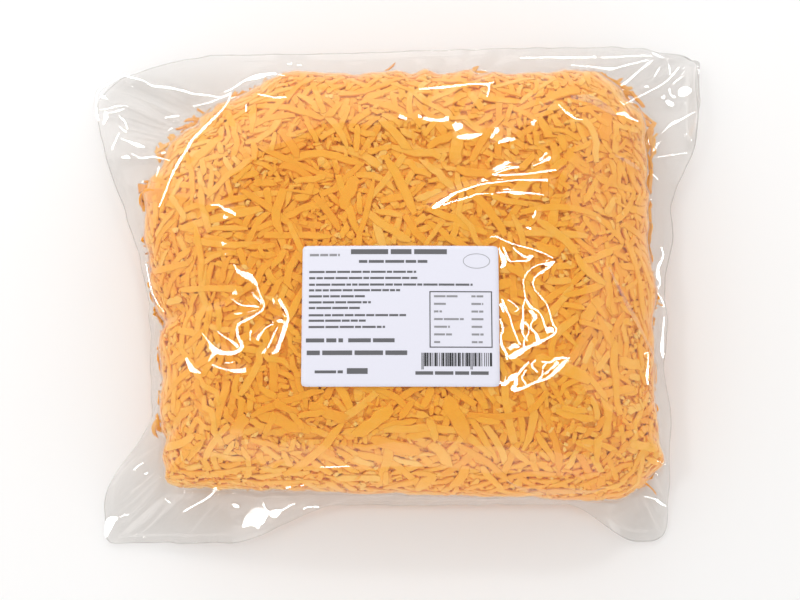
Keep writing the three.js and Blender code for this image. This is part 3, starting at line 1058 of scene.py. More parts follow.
class Placed(Strewn):
    """Shreds laid one by one, each from one pixel of the photograph to another."""

    def __init__(self, face, pairs, widths, tone, seed):
        draw = np.random.default_rng(seed)
        ends = np.array([[face_place(face, pixel) for pixel in pair] for pair in pairs])
        share = np.linspace(0, 1, STATIONS)[:, None]
        self.places = mix(ends[:, :1], ends[:, 1:], share)
        middle = face.sample(face.points, self.places[..., 0], self.places[..., 1])
        self.ways = normalised(np.gradient(middle, axis=1))
        self.width = draw.uniform(*widths, len(pairs))
        self.thick = draw.uniform(*SHRED_THICK, len(pairs))
        self.tone = draw.normal(*tone, len(pairs))
        self.depth = np.zeros((len(pairs), STATIONS))
        self.face = face
        self.last = 0.1


# %% Strays in the margin
STRAY_THICK = 1.1
FRONT_CALM = -0.8  # the front edge of the filling is straight, with no strays
CHUNK = [((171, 190), (139, 188)), ((168, 198), (143, 200))]
CLUMP = [((168, 184), (143, 181)), ((166, 204), (149, 208))]
CLUMP += [((636, 203), (652, 209)), ((638, 212), (652, 220)), ((640, 222), (649, 214))]
CLUMP += [((470, 78), (478, 65)), ((482, 74), (474, 66)), ((590, 82), (606, 90))]
LONE = [((196, 108), (214, 116)), ((601, 92), (616, 79)), ((631, 127), (638, 120))]
LONE += [((639, 484), (657, 494)), ((176, 128), (187, 124)), ((655, 300), (664, 306))]
chunk = Placed(UPPER, CHUNK, (7.0, 8.0), (0.15, 0.05), 70)
clump = Placed(UPPER, CLUMP, (2.6, 4.0), (0.3, 0.1), 71)
lone = Placed(UPPER, LONE, (1.0, 1.7), (0.42, 0.1), 72)
BY_THE_BODY, FARTHER_OUT = (0.965, 1.045), (1.04, 1.12)
THIN_TONE = (0.42, 0.12)
strays = strew(UPPER, 3000, (8, 12, 20), (1.8, 3.4), 0.5, BY_THE_BODY, USUAL, 37)
strays.keep(strays.places[..., 1].min(axis=1) > FRONT_CALM)
far_strays = strew(UPPER, 30, (5, 8, 14), (0.9, 1.5), 0.9, FARTHER_OUT, THIN_TONE, 38)
for kind in (lone, strays, far_strays):
    kind.thick[:] = STRAY_THICK
stray_map = settle([chunk, clump, lone, strays, far_strays], 2.0, 43)
stray_map = blurred((stray_map < EMPTY_DEPTH).astype(float), 3)
add_shreds("stray_shreds", strays, 57)
add_shreds("far_stray_shreds", far_strays, 58)
add_shreds("lone_shreds", lone, 62)
add_shreds("edge_clump", clump, 63)
add_shreds("edge_chunk", chunk, 64)

# %% [markdown]
# ## The pressed core
#
# Behind the visible layers the shreds are a dense mass. It is a closed, bumpy
# body a few millimetres inside the film, so that a gap between shreds looks into
# cheese and not through the pouch. Its orange is a little deeper than the
# shreds', a painted shade that darkens those gaps. Loose shreds all the way down
# would cost much and show nothing more.

# %% The core
CORE_CELLS = 150
CORE_DEPTH, CORE_DEPTH_BELOW = 2.5, 3.0
CORE_BUMPS, BUMP_SIZE = 0.9, 4
CORE_SHARE = 0.97  # of the face's grid


def add_core():
    """Two faces, moved inwards by a depth and noise, that meet on one rim."""
    t = np.linspace(-1, 1, CORE_CELLS + 1)
    s_grid, t_grid = np.meshgrid(t, t)
    s_in, t_in = s_grid * CORE_SHARE, t_grid * CORE_SHARE
    faces = []
    for face, depth in ((UPPER, CORE_DEPTH), (LOWER, CORE_DEPTH_BELOW)):
        points = face.sample(face.points, s_in, t_in)
        normals = face.sample(face.normals, s_in, t_in)
        across = points[..., 0] + points[..., 2]
        bumps = CORE_BUMPS * value_noise(across, points[..., 1], BUMP_SIZE, 61)
        faces.append(points - normalised(normals) * (depth + bumps)[..., None])
    upper, lower = faces
    rim = (np.maximum(np.abs(s_grid), np.abs(t_grid)) > 1 - 1e-9)[..., None]
    middle = (upper + lower) / 2
    upper, lower = np.where(rim, middle, upper), np.where(rim, middle, lower)
    size = CORE_CELLS + 1
    quads = grid_quads(size, size)
    above = np.arange(size * size).reshape(size, size)
    below = np.where(rim[..., 0], above, above + size * size)
    lower_quads = below.ravel()[quads[:, ::-1]]
    points = np.concatenate([upper.reshape(-1, 3), lower.reshape(-1, 3)])
    faces = np.concatenate([quads, lower_quads])
    piece = add_piece("pressed_core", points, faces, SHADED_CORE_CHEESE, "bag")
    add_shade(piece, "tone", np.full(len(points), 0.5))


add_core()

# %% [markdown]
# ## The film
#
# The film lies on the outermost shreds and sinks a little into the gaps between
# them. Where the pouch bulges it is drawn tight, and there it shows every shred.
# Loose film stands off in creases: sharp ridges, some of them long and some in
# fine nets. A crease could be left to noise, but where creases lie is what makes
# this pouch look like itself, so each is a line through pixels of the view.

# %% Creases left of the label
# Each crease: the x and y of the pixels that it passes, and how wide its lit
# side is there, in pixels too. These mirror the left lamp.
LEFT_CREASES = [
    [(234, 264, 0.6), (237, 270, 3), (241, 273, 5), (247, 276, 7), (253, 280, 6),
     (257, 285, 2.5)],
    [(257, 285, 2), (259, 292, 1.2), (263, 301, 1.2), (264, 306, 1.8), (261, 311, 2.5),
     (254, 316, 2.5)],
    [(254, 316, 2.5), (246, 320, 3), (239, 324, 3), (237, 329, 3), (238, 336, 3),
     (241, 342, 4)],
    [(241, 342, 4), (242, 347, 4), (238, 351, 4), (232, 353, 4.5), (223, 353, 5),
     (216, 351, 7)],
    [(216, 351, 7), (212, 348, 7), (209, 342, 2.5), (202, 333, 0.6)],
    [(216, 351, 6), (212, 356, 3.5), (209, 361, 1.5)],
    [(232, 299, 0.8), (239, 304, 1.8), (247, 306, 1.5), (255, 306, 2.5), (259, 308, 1)],
    [(217, 331, 0.8), (222, 335, 1.5), (228, 339, 1.5), (234, 343, 3), (238, 347, 3)],
    [(212, 365, 1.5), (220, 368, 2), (228, 370, 2), (237, 371, 5), (246, 370, 5)],
    [(186, 358, 3), (189, 364, 5.5), (193, 370, 6), (201, 373, 2)],
    [(279, 299, 2.5), (282, 305, 4), (286, 311, 3), (288, 319, 3), (285, 327, 6)],
    [(285, 327, 6), (283, 334, 5), (280, 342, 5), (277, 350, 5), (272, 354, 3)],
    [(277, 321, 3), (281, 321, 4), (285, 322, 3)],
    [(257, 340, 3), (259, 336, 3.5), (263, 331, 2), (267, 327, 1.5), (274, 324, 1)],
    [(146, 264, 1), (150, 284, 1.4), (155, 299, 1.4), (164, 312, 0.8)],
]

# %% Creases at the front corners
LEFT_CREASES += [
    # the left one
    [(183, 512, 1), (193, 506, 1.8), (204, 500, 1.8), (212, 494, 2), (215, 489, 4),
     (218, 490, 1.5)],
    [(165, 499, 1.2), (170, 503, 1.2)],
    [(134, 470, 1), (138, 466, 2), (143, 463, 1)],
    [(144, 474, 2), (148, 473, 1.4)],
    [(120, 517, 1), (125, 515, 1.6), (129, 515, 1)],
    [(106, 537, 2), (108, 528, 8), (111, 521, 10), (117, 518, 3)],
    [(243, 527, 2), (249, 521, 14), (256, 518, 24), (262, 519, 24), (265, 521, 10)],
    [(232, 504, 1), (236, 506, 4), (239, 507, 1)],
    [(269, 513, 2), (274, 514, 9), (280, 511, 4)],
    [(263, 503, 1), (265, 508, 1.4), (270, 512, 1.4), (275, 510, 1.4), (282, 510, 1.4),
     (291, 505, 1.4), (295, 504, 1)],
    [(286, 488, 2.5), (291, 487, 2)],
    [(300, 486, 1.4), (304, 485, 1.4)],
    [(303, 509, 1), (309, 507, 1.4), (319, 507, 1)],
    [(320, 467, 0.8), (334, 467, 1.6), (350, 466, 0.8)],
    # the right one
    [(656, 460, 0.8), (666, 465, 0.8)],
    [(656, 471, 1.6), (658, 478, 1.8), (663, 472, 1.6)],
    [(656, 471.5, 1.4), (663, 471.5, 1.4)],
    [(643, 496, 0.8), (655, 499, 1.4), (659, 502, 3), (666, 506, 1.2)],
]

# %% [markdown]
# The other creases mirror the key lamp, which stands behind the pouch: a fan
# above the label, two fine nets right of it, the right wall and hem, and the
# two corners at the back.

# %% Creases above the label
KEY_CREASES = [
    [(432, 208, 3), (438, 205, 6), (445, 200, 5), (454, 194, 2.5), (466, 189, 2.5),
     (482, 184, 1.8)],
    [(482, 184, 1.8), (500, 182, 1.5), (517, 180, 1.5), (535, 180, 2), (548, 180, 3)],
    [(443, 205, 2), (455, 201, 1.8), (466, 198, 1.8), (479, 194, 1.2), (494, 194, 1)],
    [(497, 193, 1), (508, 192, 2), (517, 193, 4), (530, 193, 1.8), (544, 195, 1)],
    [(492, 175, 1.5), (508, 175, 2), (525, 174, 1.8), (540, 172, 1.8), (556, 170, 2)],
    [(492, 175, 1.5), (502, 171, 1.5), (511, 168, 2), (519, 167, 3)],
    [(533, 166, 1), (542, 162, 1.5), (548, 159, 4), (550, 157, 3)],
    [(536, 211, 1.5), (533, 218, 3.5)],
    [(457, 137, 3), (464, 137, 6), (473, 136, 5), (482, 134, 2.5)],
    [(498, 143, 3), (506, 140, 4.5), (515, 139, 3)],
    [(558, 104, 0.8), (565, 111, 1.5), (569, 114, 3), (575, 118, 1.8), (583, 120, 0.6)],
    # along the back wall
    [(419, 89, 1), (432, 88, 2.5), (447, 87, 3), (461, 85, 2.5), (474, 84, 2), (487, 84, 3),
     (494, 82, 1.5)],
    [(488, 84, 3), (489, 89, 2.5), (487, 97, 1.5)],
]

# %% Creases right of the label
KEY_CREASES += [
    [(490, 237, 1.2), (497, 237, 1.5), (508, 242, 1.4), (520, 246, 1.2), (532, 249, 1.5),
     (543, 253, 1.2), (553, 258, 0.8)],
    [(499, 248, 1), (502, 256, 4), (504, 263, 6), (501, 268, 2)],
    [(503, 247, 1.5), (506, 254, 2.5), (510, 261, 1)],
    [(513, 248, 1.5), (519, 253, 2), (526, 257, 2.5), (533, 256, 3.5)],
    [(503, 254, 1.2), (509, 261, 1.2), (517, 261, 1.2), (526, 261, 2), (531, 258, 2)],
    [(555, 261, 0.6), (548, 264, 4), (541, 264, 1.2), (532, 268, 1.2), (526, 274, 1.2),
     (523, 281, 1.2)],
    [(523, 281, 1.2), (524, 288, 1), (525, 295, 1), (526, 300, 1.5)],
    [(555, 261, 0.6), (549, 267, 3), (542, 272, 3), (536, 276, 2), (533, 283, 1.2),
     (535, 290, 1.2)],
    [(535, 290, 1.2), (541, 297, 1.2), (546, 303, 1.2), (549, 310, 1.2), (551, 318, 1.2),
     (553, 324, 2), (557, 330, 1.5)],
    [(557, 330, 1.5), (553, 335, 2.5), (546, 339, 2), (538, 343, 5), (531, 346, 3),
     (523, 350, 6), (515, 355, 7), (509, 358, 4)],
    [(502, 299, 2), (506, 309, 2.5), (510, 317, 1.5), (513, 328, 1.5), (517, 338, 1.5),
     (520, 345, 2)],
    [(508, 300, 1.2), (514, 304, 1.2), (518, 309, 1.2), (515, 312, 1.2)],
    [(525, 299, 1.5), (523, 307, 1.5), (523, 317, 2.5), (522, 326, 4), (523, 334, 1.5),
     (528, 341, 1.5)],
    [(526, 300, 2.5), (531, 307, 3), (538, 311, 1.5), (542, 317, 1.5), (545, 326, 2),
     (548, 333, 4)],
    [(530, 310, 4), (535, 317, 5), (532, 322, 2), (531, 328, 2), (536, 334, 3), (538, 341, 5)],
    [(546, 329, 5), (551, 330, 6), (554, 331, 3)],
    [(500, 318, 1.2), (503, 329, 2.5), (501, 336, 2), (502, 346, 3), (506, 353, 2.5),
     (507, 360, 2)],
    [(525, 322, 3), (529, 328, 1.5), (528, 334, 1.2), (524, 341, 1.5), (524, 348, 2)],
    [(509, 349, 4), (514, 346, 5), (519, 347, 3)],
    [(501, 303, 4), (503, 312, 3)],
    [(569, 358, 1.5), (561, 358, 3), (555, 359, 2.5), (551, 362, 2), (541, 362, 1.2)],
    [(569, 358, 1.5), (561, 366, 5), (554, 373, 4), (546, 379, 3), (536, 382, 3), (525, 387, 3),
     (515, 390, 4), (511, 388, 3)],
    [(558, 362, 4), (552, 368, 2.5), (545, 374, 2)],
    [(547, 362, 1.5), (543, 368, 1.5), (542, 376, 1.5), (538, 380, 2)],
    [(536, 360, 1.5), (532, 364, 2), (535, 370, 2), (538, 372, 1.5)],
    [(529, 362, 2), (523, 368, 2.5), (518, 374, 3), (513, 377, 7), (508, 381, 4), (504, 384, 5),
     (500, 382, 3)],
    [(514, 374, 6), (516, 382, 5), (514, 388, 5)],
    [(526, 370, 1.5), (522, 378, 1.5), (526, 384, 1.5)],
    [(526, 227, 1.5), (532, 229, 2.5)],
    # the right wall and the right hem
    [(644, 354, 1), (648, 353, 1), (648, 364, 2), (647, 376, 3), (648, 385, 1.5)],
    [(661, 247, 1), (663, 253, 1.5), (662, 260, 2), (658, 267, 3), (658, 276, 4), (660, 283, 2),
     (657, 290, 1)],
    [(657, 292, 1), (662, 300, 1.5), (664, 307, 1.5)],
    [(664, 317, 1.2), (663, 334, 2), (662, 346, 4), (663, 358, 1.5)],
]

# %% Creases at the back right corner
KEY_CREASES += [
    [(520, 58, 0.8), (537, 57.5, 1.4), (556, 57.5, 1.6), (573, 57.5, 1.4), (587, 57.5, 1.6),
     (596, 57, 2)],
    [(602, 57.5, 1.4), (617, 57, 1.4), (633, 56, 1.2), (652, 55.5, 1.2)],
    [(652, 52.5, 1.2), (657, 55, 1.8), (663, 58, 1.2)],
    [(571, 65, 0.7), (582, 66, 0.9), (594, 67, 1), (602, 68, 1.6), (610, 69, 2.6),
     (616, 68, 1.4), (627, 65, 1.2), (639, 62, 1), (649, 60, 0.8)],
    [(619, 86, 0.8), (625, 83, 2.8), (631, 78, 1.8), (638, 72, 1.4), (645, 66, 1.8),
     (652, 61, 1.2)],
    [(620, 101, 0.8), (625, 105, 0.8)],
    [(625, 104, 0.8), (636, 98, 0.9), (648, 92, 0.9), (661, 85, 0.9), (669, 79, 0.8),
     (677, 69, 0.8)],
    [(654, 77, 0.8), (657, 72, 1.2), (660, 67, 0.8)],
    [(668, 64, 0.8), (669.5, 69, 1.2), (669.5, 74, 0.8)],
    [(672, 76, 0.8), (676, 71, 1.3), (679, 67, 0.8)],
    [(673, 84, 0.7), (678, 79, 0.9), (682, 77, 0.7)],
    [(645, 87, 2), (648, 86, 2)],
    [(678, 93, 5), (682, 92, 10), (686, 91, 10), (691, 90, 4)],
    [(669, 89, 1.4), (671, 95, 1.2), (675, 97, 4)],
    [(662, 98, 2), (665, 96, 2.5)],
    [(666, 101, 3), (671, 104, 5), (674, 105, 2)],
    [(617, 114, 2), (624, 114, 4.5), (629, 117, 2.5), (639, 122, 0.8)],
    [(662, 132, 0.8), (667, 128, 1.2), (673, 123, 3), (680, 120, 1.5), (687, 116, 1),
     (695, 112, 1)],
    [(652, 152, 0.6), (656, 147, 1.8), (660, 141, 0.6)],
    [(652, 158, 0.6), (664, 156, 0.7), (686, 153, 0.6)],
    [(652, 174, 0.9), (658, 179, 1.3)],
]

# %% Creases at the back left corner, first the long arc round the cheese
KEY_CREASES += [
    [(231, 94, 1.5), (229, 100, 2), (222, 110, 2.2), (210, 122, 2.8), (201, 131, 3),
     (192, 140, 3)],
    [(192, 140, 3), (186, 151, 3), (180, 160, 3), (174, 171, 2.6), (169, 182, 1.6),
     (165, 193, 2), (159, 207, 1)],
    [(121, 75, 0.8), (134, 78, 1.4), (144, 81, 1), (153, 86, 1.6), (165, 87, 2.4), (181, 90, 2),
     (193, 94, 2)],
    [(193, 94, 2), (206, 95, 1.6), (219, 97, 0.8), (231, 93, 1)],
    [(120, 75, 1), (115, 80, 1.4), (106, 85, 1.4), (98, 92, 1.2), (96, 104, 1.8), (97, 115, 2),
     (99, 121, 1)],
    [(225, 92, 1), (235, 87, 1.4), (244, 81, 1.6), (252, 78, 4), (261, 76, 5), (273, 73.5, 1.6),
     (284, 76, 1.2)],
    [(288, 64, 1.6), (292, 64, 1.6)],
    [(297, 65, 1.6), (301, 65, 1.2)],
    [(257, 94, 1), (267, 96, 1.8), (277, 97.5, 1.8), (286, 97, 1)],
    [(193, 106, 0.7), (204, 104, 0.8), (216, 100, 0.8), (229, 95, 0.8)],
    [(165, 118, 1), (172, 116.5, 1.6), (179, 116, 0.8)],
    [(168, 130, 1.2), (172, 128, 1)],
    [(101, 110, 0.7), (110, 108, 1), (117, 106, 1.6), (128, 106, 0.7)],
    [(105, 113, 0.8), (114, 112, 1.4), (124, 109, 0.8)],
    [(105, 111, 2), (106, 117, 5), (103, 124, 1)],
    [(119, 116, 0.7), (125, 122, 1.4), (127, 129, 0.8)],
    [(120, 127, 1.2), (126, 132, 1.6)],
    [(119, 133, 0.8), (115, 142, 1.2), (111, 151, 0.8)],
    [(121, 139, 0.8), (130, 142, 1.6), (137, 145, 4), (144, 147, 1.2)],
    [(122, 157, 1.4), (126, 157, 3), (130, 158, 1.2)],
    [(132, 154, 0.8), (140, 158, 1), (144, 158, 1.8), (153, 156.5, 1.8), (160, 158, 1.8),
     (171, 160.5, 0.8)],
    [(100, 97, 1.4), (104, 97, 3), (107, 99, 1.2)],
    [(159, 166, 0.8), (158, 171, 1.6), (156, 177, 0.8)],
    [(211, 205, 1.2), (219, 205, 2), (224, 209, 3), (230, 211, 4), (236, 215, 2)],
    [(246, 104, 0.8), (246, 108, 2.4), (246, 112, 0.8)],
]

# %% Folds where the film lies double and looks pale
PALE_FOLDS = [
    [(609, 267, 2), (617, 284, 3.5), (629, 307, 5), (643, 334, 3.5), (654, 356, 2.5),
     (658, 369, 2)],
    [(571, 97, 4), (590, 99, 9), (606, 108, 8), (616, 116, 3)],
    [(506, 480, 1), (520, 488, 4), (540, 492, 7), (570, 491, 7), (590, 492, 4), (606, 487, 1)],
    [(615, 155, 2), (630, 163, 5), (640, 170, 2)],
]
print(len(LEFT_CREASES + KEY_CREASES), "creases and", len(PALE_FOLDS), "pale folds")

# %% [markdown]
# A crease is a smooth curve through its pixels. It lifts the film as a ridge
# with a rounded crest and sides that fall off quickly, wherever the projection
# sees the film near that curve.

# %% The creases' lift
CREST = 0.8  # pixels
CREASE_HIGH, CREASE_SHARE = 0.4, 0.22  # mm, and mm for each pixel of width
WIDEST_TOLD = 5  # a wider lit side doesn't make a crease higher
CREASE_WIDE = 4.5
CREASE_REACH = 16  # pixels from a crease, past which it lifts nothing


def curve_through(line, steps=24):
    """A smooth line through the given points, by a cubic blend of four at a time."""
    line = np.array(line, float)
    padded = np.concatenate([[2 * line[0] - line[1]], line, [2 * line[-1] - line[-2]]])
    t = np.linspace(0, 1, steps, endpoint=False)[:, None]
    parts = []
    for p0, p1, p2, p3 in zip(padded[:-3], padded[1:-2], padded[2:-1], padded[3:]):
        cubic = (3 * p1 - p0 - 3 * p2 + p3) * t**3
        square = (2 * p0 - 5 * p1 + 4 * p2 - p3) * t**2
        parts.append(0.5 * (2 * p1 + (p2 - p0) * t + square + cubic))
    return np.concatenate(parts + [line[-1:]])


def crease_lift(points):
    """How far the creases lift each film point: for each crease, its height times
    exp(-distance / width), with a rounded crest."""
    x, y = seen_at(points)
    lift = np.zeros(x.shape)
    for crease in LEFT_CREASES + KEY_CREASES:
        curve = curve_through(crease, 6)
        low = curve[:, :2].min(0) - CREASE_REACH
        high = curve[:, :2].max(0) + CREASE_REACH
        near = (x > low[0]) & (x < high[0]) & (y > low[1]) & (y < high[1])
        gaps = np.stack([x[near], y[near]], -1)[:, None] - curve[None, :, :2]
        distance = np.linalg.norm(gaps, axis=-1)
        if distance.size == 0:
            continue
        wide = np.minimum(curve[distance.argmin(1), 2], WIDEST_TOLD)
        tall = CREASE_HIGH + CREASE_SHARE * wide
        ridge = np.exp((CREST - np.hypot(distance.min(1), CREST)) / CREASE_WIDE)
        lift[near] = np.maximum(lift[near], tall * ridge)
    return lift


# %% [markdown]
# The upper film is a grid over the body. Its dips are the blurred depth at which
# a shred is met, never deeper than that depth, so it drapes over the shreds and
# cuts through none. It is stiffer on the crown than on the drawn walls.

# %% The film over the body
FILM_CELLS = 310
DEEPEST_DIP = 2.4
CLING = (0.16, 0.35)  # how far it follows the dips, on the crown and on the walls
FILM_STAND_OFF = 0.3
SOFT_FOLDS = [(0.35, 26, 71), (0.10, 11, 72)]  # height, size, seed


def film_over_body():
    """The upper film: the crown's and walls' face, sunk between the shreds, raised
    by creases, and never closer to a shred than its clearance."""
    t = np.linspace(-1, 1, FILM_CELLS + 1)
    s_grid, t_grid = np.meshgrid(t, t)
    points = UPPER.sample(UPPER.points, s_grid, t_grid)
    normals = normalised(UPPER.sample(UPPER.normals, s_grid, t_grid))
    m = np.maximum(np.abs(s_grid), np.abs(t_grid))
    free_depth = np.minimum(lowest_near(met_above), DEEPEST_DIP)
    dips = np.minimum(blurred(free_depth, 6), free_depth)
    dip = UPPER.sample(blurred(dips, 2)[..., None], s_grid, t_grid)[..., 0]
    x, y = points[..., 0], points[..., 1]
    folds = 0
    for height, size, seed in SOFT_FOLDS:
        folds = folds + height * value_noise(x, y + points[..., 2], size, seed)
    cling = mix(*CLING, ease(m, 0.45, 0.7))
    lift = FILM_STAND_OFF + crease_lift(points) + folds - cling * dip
    lift = np.maximum(lift, -dip)
    lift = lift * off_label(x, y, 0.56) * (1 - ease(m, 0.985, 1.0))
    return points + normals * lift[..., None]


film_quads = grid_quads(FILM_CELLS + 1, FILM_CELLS + 1)
add_piece("film_front", film_over_body(), film_quads, FILM, "bag")

# %% [markdown]
# The lower film bears the pouch's weight. It is flat where it lies, and only its
# lifted edge has wrinkles.

# %% The film under the body
BACK_CELLS = 200
WRINKLE, WRINKLE_SIZE = 0.5, 22


def film_under_body():
    """The lower film: the underside's face with wrinkles towards its edge."""
    t = np.linspace(-1, 1, BACK_CELLS + 1)
    s_grid, t_grid = np.meshgrid(t, t)
    points = LOWER.sample(LOWER.points, s_grid, t_grid)
    x, y = points[..., 0], points[..., 1]
    m = np.maximum(np.abs(s_grid), np.abs(t_grid))
    wrinkles = WRINKLE * ridges(x, y, WRINKLE_SIZE, 73) ** 5
    wrinkles = wrinkles * ease(m, 0.75, 0.9) * (1 - ease(m, 0.97, 1))
    normals = normalised(LOWER.sample(LOWER.normals, s_grid, t_grid))
    points = points + normals * wrinkles[..., None]
    points[..., 2] = np.maximum(points[..., 2], 0.0)
    return points


back_quads = grid_quads(BACK_CELLS + 1, BACK_CELLS + 1)[:, ::-1]
add_piece("film_back", film_under_body(), back_quads, FILM, "bag")

# %% [markdown]
# ## The film's margin and its four empty corners
#
# Round the body the upper and the lower film lie on each other. They part a
# little next to the cheese, where single shreds poke in, and are welded at the
# hem. Over the empty corners they fan out in soft folds. Each film is one mesh,
# the upper one finer, because its creases show.

# %% The margin's two films
MARGIN_STEPS = 290
MARGIN_ROWS, MARGIN_BACK_ROWS = 84, 26
LOWER_SWELL = 0.8  # the lower film gives way to a stray a little less
SWELL_TO = 0.9  # nothing parts the films near the hem
SWOLLEN_LEAST = 0.2


def margin_film(rows, upper):
    """One film of the margin as rows x headings of points, from foot to hem, and
    the swell of the strays between the films."""
    a, b = round_the_square(MARGIN_STEPS)
    reach = np.linspace(0, 1, rows)[:, None]
    m = 1 + (HEM_AT - 1) * reach + 0 * a
    a, b = a + 0 * m, b + 0 * m
    swell = UPPER.sample(stray_map[..., None], m * a, m * b)[..., 0]
    return margin_face(m, a, b, upper), reach, swell * (reach < SWELL_TO)


def add_margin():
    """Both films, with creases and strays' swell, closed on one hem line."""
    upper, reach, swell = margin_film(MARGIN_ROWS, True)
    upper[..., 2] += crease_lift(upper) * between(reach) + swell
    lower, reach, swell = margin_film(MARGIN_BACK_ROWS, False)
    lower[..., 2] -= LOWER_SWELL * swell * between(reach)
    lower[..., 2] = np.maximum(lower[..., 2], SWOLLEN_LEAST)
    lower[-1] = upper[-1] = (upper[-1] + lower[-1]) / 2
    columns = upper.shape[1]
    over = grid_quads(MARGIN_ROWS, columns, wrap=True)[:, ::-1]
    under = grid_quads(MARGIN_BACK_ROWS, columns, wrap=True)
    add_piece("film_margin", upper, over, MARGIN_FILM, "bag")
    add_piece("film_margin_back", lower, under, MARGIN_FILM, "bag")


add_margin()

# %% [markdown]
# The welded edge of a film is a little thicker than the film and shows as a thin
# grey line. It is a narrow strip along the hem in a greyer film: partly the
# weld's own thickness, and partly a painted shade of the edge seen edge-on. It is
# wider where the edge has curled over, to paint that rolled edge's dark look.

# %% The hem's thin line
HEM_LINE = 0.55
HEM_LINE_HIGH = 0.25
# The curled edge's dark look is a painted shade: there the grey strip widens by up to 2.2 mm.
CURLED_AT, CURLED_REACH, CURL_SHADE_WIDE = (699, 84), 26, 2.2  # pixels, pixels, mm


def add_hem_line():
    """Three lines along the hem: its edge, a raised middle and an inner line. The
    strip, which paints the edge's shade, widens by exp(-(distance / reach)^4)
    where the edge has curled."""
    a, b = round_the_square(MARGIN_STEPS)
    outer = margin_face(np.full(a.shape, HEM_AT), a, b, True)
    inner = margin_face(np.full(a.shape, HEM_AT - 0.02), a, b, True)
    inwards = normalised(inner - outer)
    x, y = seen_at(outer)
    curled = np.exp(-(np.hypot(x - CURLED_AT[0], y - CURLED_AT[1]) / CURLED_REACH) ** 4)
    wide = (HEM_LINE + CURL_SHADE_WIDE * curled)[..., None]
    lift = np.array([0, 0, HEM_LINE_HIGH])
    raised = outer + inwards * wide / 2 + lift + curled[..., None] * lift
    rows = [outer, raised, outer + inwards * wide]
    points = np.stack([row.reshape(-1, 3) for row in rows])
    quads = grid_quads(3, points.shape[1], wrap=True)
    add_piece("hem_line", points, quads[:, ::-1], WELD_AND_SHADE_FILM, "bag")


add_hem_line()

# %% [markdown]
# ## The creases' lit sides
#
# A crease in thin film has flat, narrow sides, and the one that faces a lamp
# throws its light back as a bright line. These sides are far finer than the
# film's grid, so they are a mesh of their own: along each crease a chain of
# short flats, each turned so that it mirrors a lamp to where the photograph was
# taken from. That turn is the half-way direction between the two. A lamp is
# given by the lean and the bearing of a film that would mirror it, and stands
# where such a film would show it. Two small lamps are for the creases. Three
# large and dim ones only give the body and the corners their soft shading.

# %% The lamps' places
LAMP_DISTANCE = 1250.0
PART_MIDDLE = np.array([0, 0, 60.0])
LAMPS = {
    "key_lamp": dict(bearing=80, lean=16, size=(0.16, 0.11), power=1.7),
    "left_lamp": dict(bearing=188, lean=15, size=(0.16, 0.11), power=1.4),
    "soft_lamp": dict(bearing=125, lean=26, size=(1.7, 1.2), power=4.8),
    "front_lamp": dict(bearing=-92, lean=42, size=(1.4, 0.7), power=2.2),
    "right_lamp": dict(bearing=0, lean=24, size=(1.0, 0.6), power=0.9),
}


def lamp_place(lamp):
    """With the film's normal n and the camera in direction c, the mirrored light
    comes from 2 (n . c) n - c."""
    bearing, lean = math.radians(lamp["bearing"]), math.radians(lamp["lean"])
    side, up = math.sin(lean), math.cos(lean)
    normal = np.array([side * math.cos(bearing), side * math.sin(bearing), up])
    return PART_MIDDLE + (2 * (normal @ -FORWARD) * normal + FORWARD) * LAMP_DISTANCE


for lamp_name, lamp_values in LAMPS.items():
    print(lamp_name, "at", lamp_place(lamp_values).round(), "mm")

# %% [markdown]
# A flat's edges have to be seen where the crease's edges are. So the rays through
# those edges' pixels are cut with the flat's plane, which is a division for each
# ray. The pale folds are made the same way, but lie level and mirror no lamp.

# %% The flats along each crease
FLAT_STEPS = 12  # stations along one flat
FLAT_LIFT = 1.0
FLAT_WIDE = 0.42  # half the width, a little less, as a bright line looks wider
THINNEST = 0.4  # pixels


def film_heights():
    """The upper film's height at each pixel of the photograph: the highest point
    of the film's grid that is seen in it or beside it."""
    x, y = seen_at(UPPER.points)
    heights = np.zeros((PHOTO_HEIGHT, PHOTO_WIDTH))
    at = (y.round().astype(int), x.round().astype(int))
    np.maximum.at(heights, at, UPPER.points[..., 2])
    return -lowest_near(-heights)


def flats_along(lines, heights, lamp=None):
    """The flats' points. A flat lies in the plane through its middle on the film
    with the half-way normal n, and its edges are where the rays through their
    pixels meet that plane: at a share n . (middle - eye) / n . ray of each ray."""
    parts, sides = [], []
    for line in lines:
        curve = curve_through(line)
        way = normalised(np.gradient(curve[:, :2], axis=0))
        index = np.arange(0, len(curve) - 1, FLAT_STEPS)[:, None] + np.arange(FLAT_STEPS + 1)
        parts.append(curve[index])
        sides.append(np.stack([-way[:, 1], way[:, 0]], -1)[index])
    parts, sides = np.concatenate(parts), np.concatenate(sides)
    pixels, half = parts[..., :2], np.maximum(parts[..., 2:], THINNEST) * FLAT_WIDE
    middle = pixels[:, FLAT_STEPS // 2]
    column, row = middle.round().astype(int).T
    ray = ray_through(middle[:, 0], middle[:, 1])
    height = heights[row, column] + FLAT_LIFT
    middle = CAMERA_PLACE + ray * ((height - CAMERA_PLACE[2]) / ray[:, 2])[:, None]
    normal = np.array([0, 0, 1.0]) + 0 * middle
    if lamp:
        to_lamp = normalised(lamp_place(LAMPS[lamp]) - middle)
        normal = normalised(normalised(CAMERA_PLACE - middle) + to_lamp)
    edges = np.stack([pixels - sides * half, pixels + sides * half], axis=2)
    rays = ray_through(edges[..., 0], edges[..., 1])
    away = (normal * (middle - CAMERA_PLACE)).sum(-1)[:, None, None]
    return CAMERA_PLACE + rays * (away / (rays * normal[:, None, None]).sum(-1))[..., None]


def add_flats(name, points, material):
    """Each flat as a strip of faces between its two edges."""
    flats = len(points)
    index = np.arange(flats * (FLAT_STEPS + 1) * 2).reshape(flats, FLAT_STEPS + 1, 2)
    left, right = index[..., 0], index[..., 1]
    quads = np.stack([left[:, :-1], right[:, :-1], right[:, 1:], left[:, 1:]], -1)
    add_piece(name, points, quads, material, "bag", smooth=False)


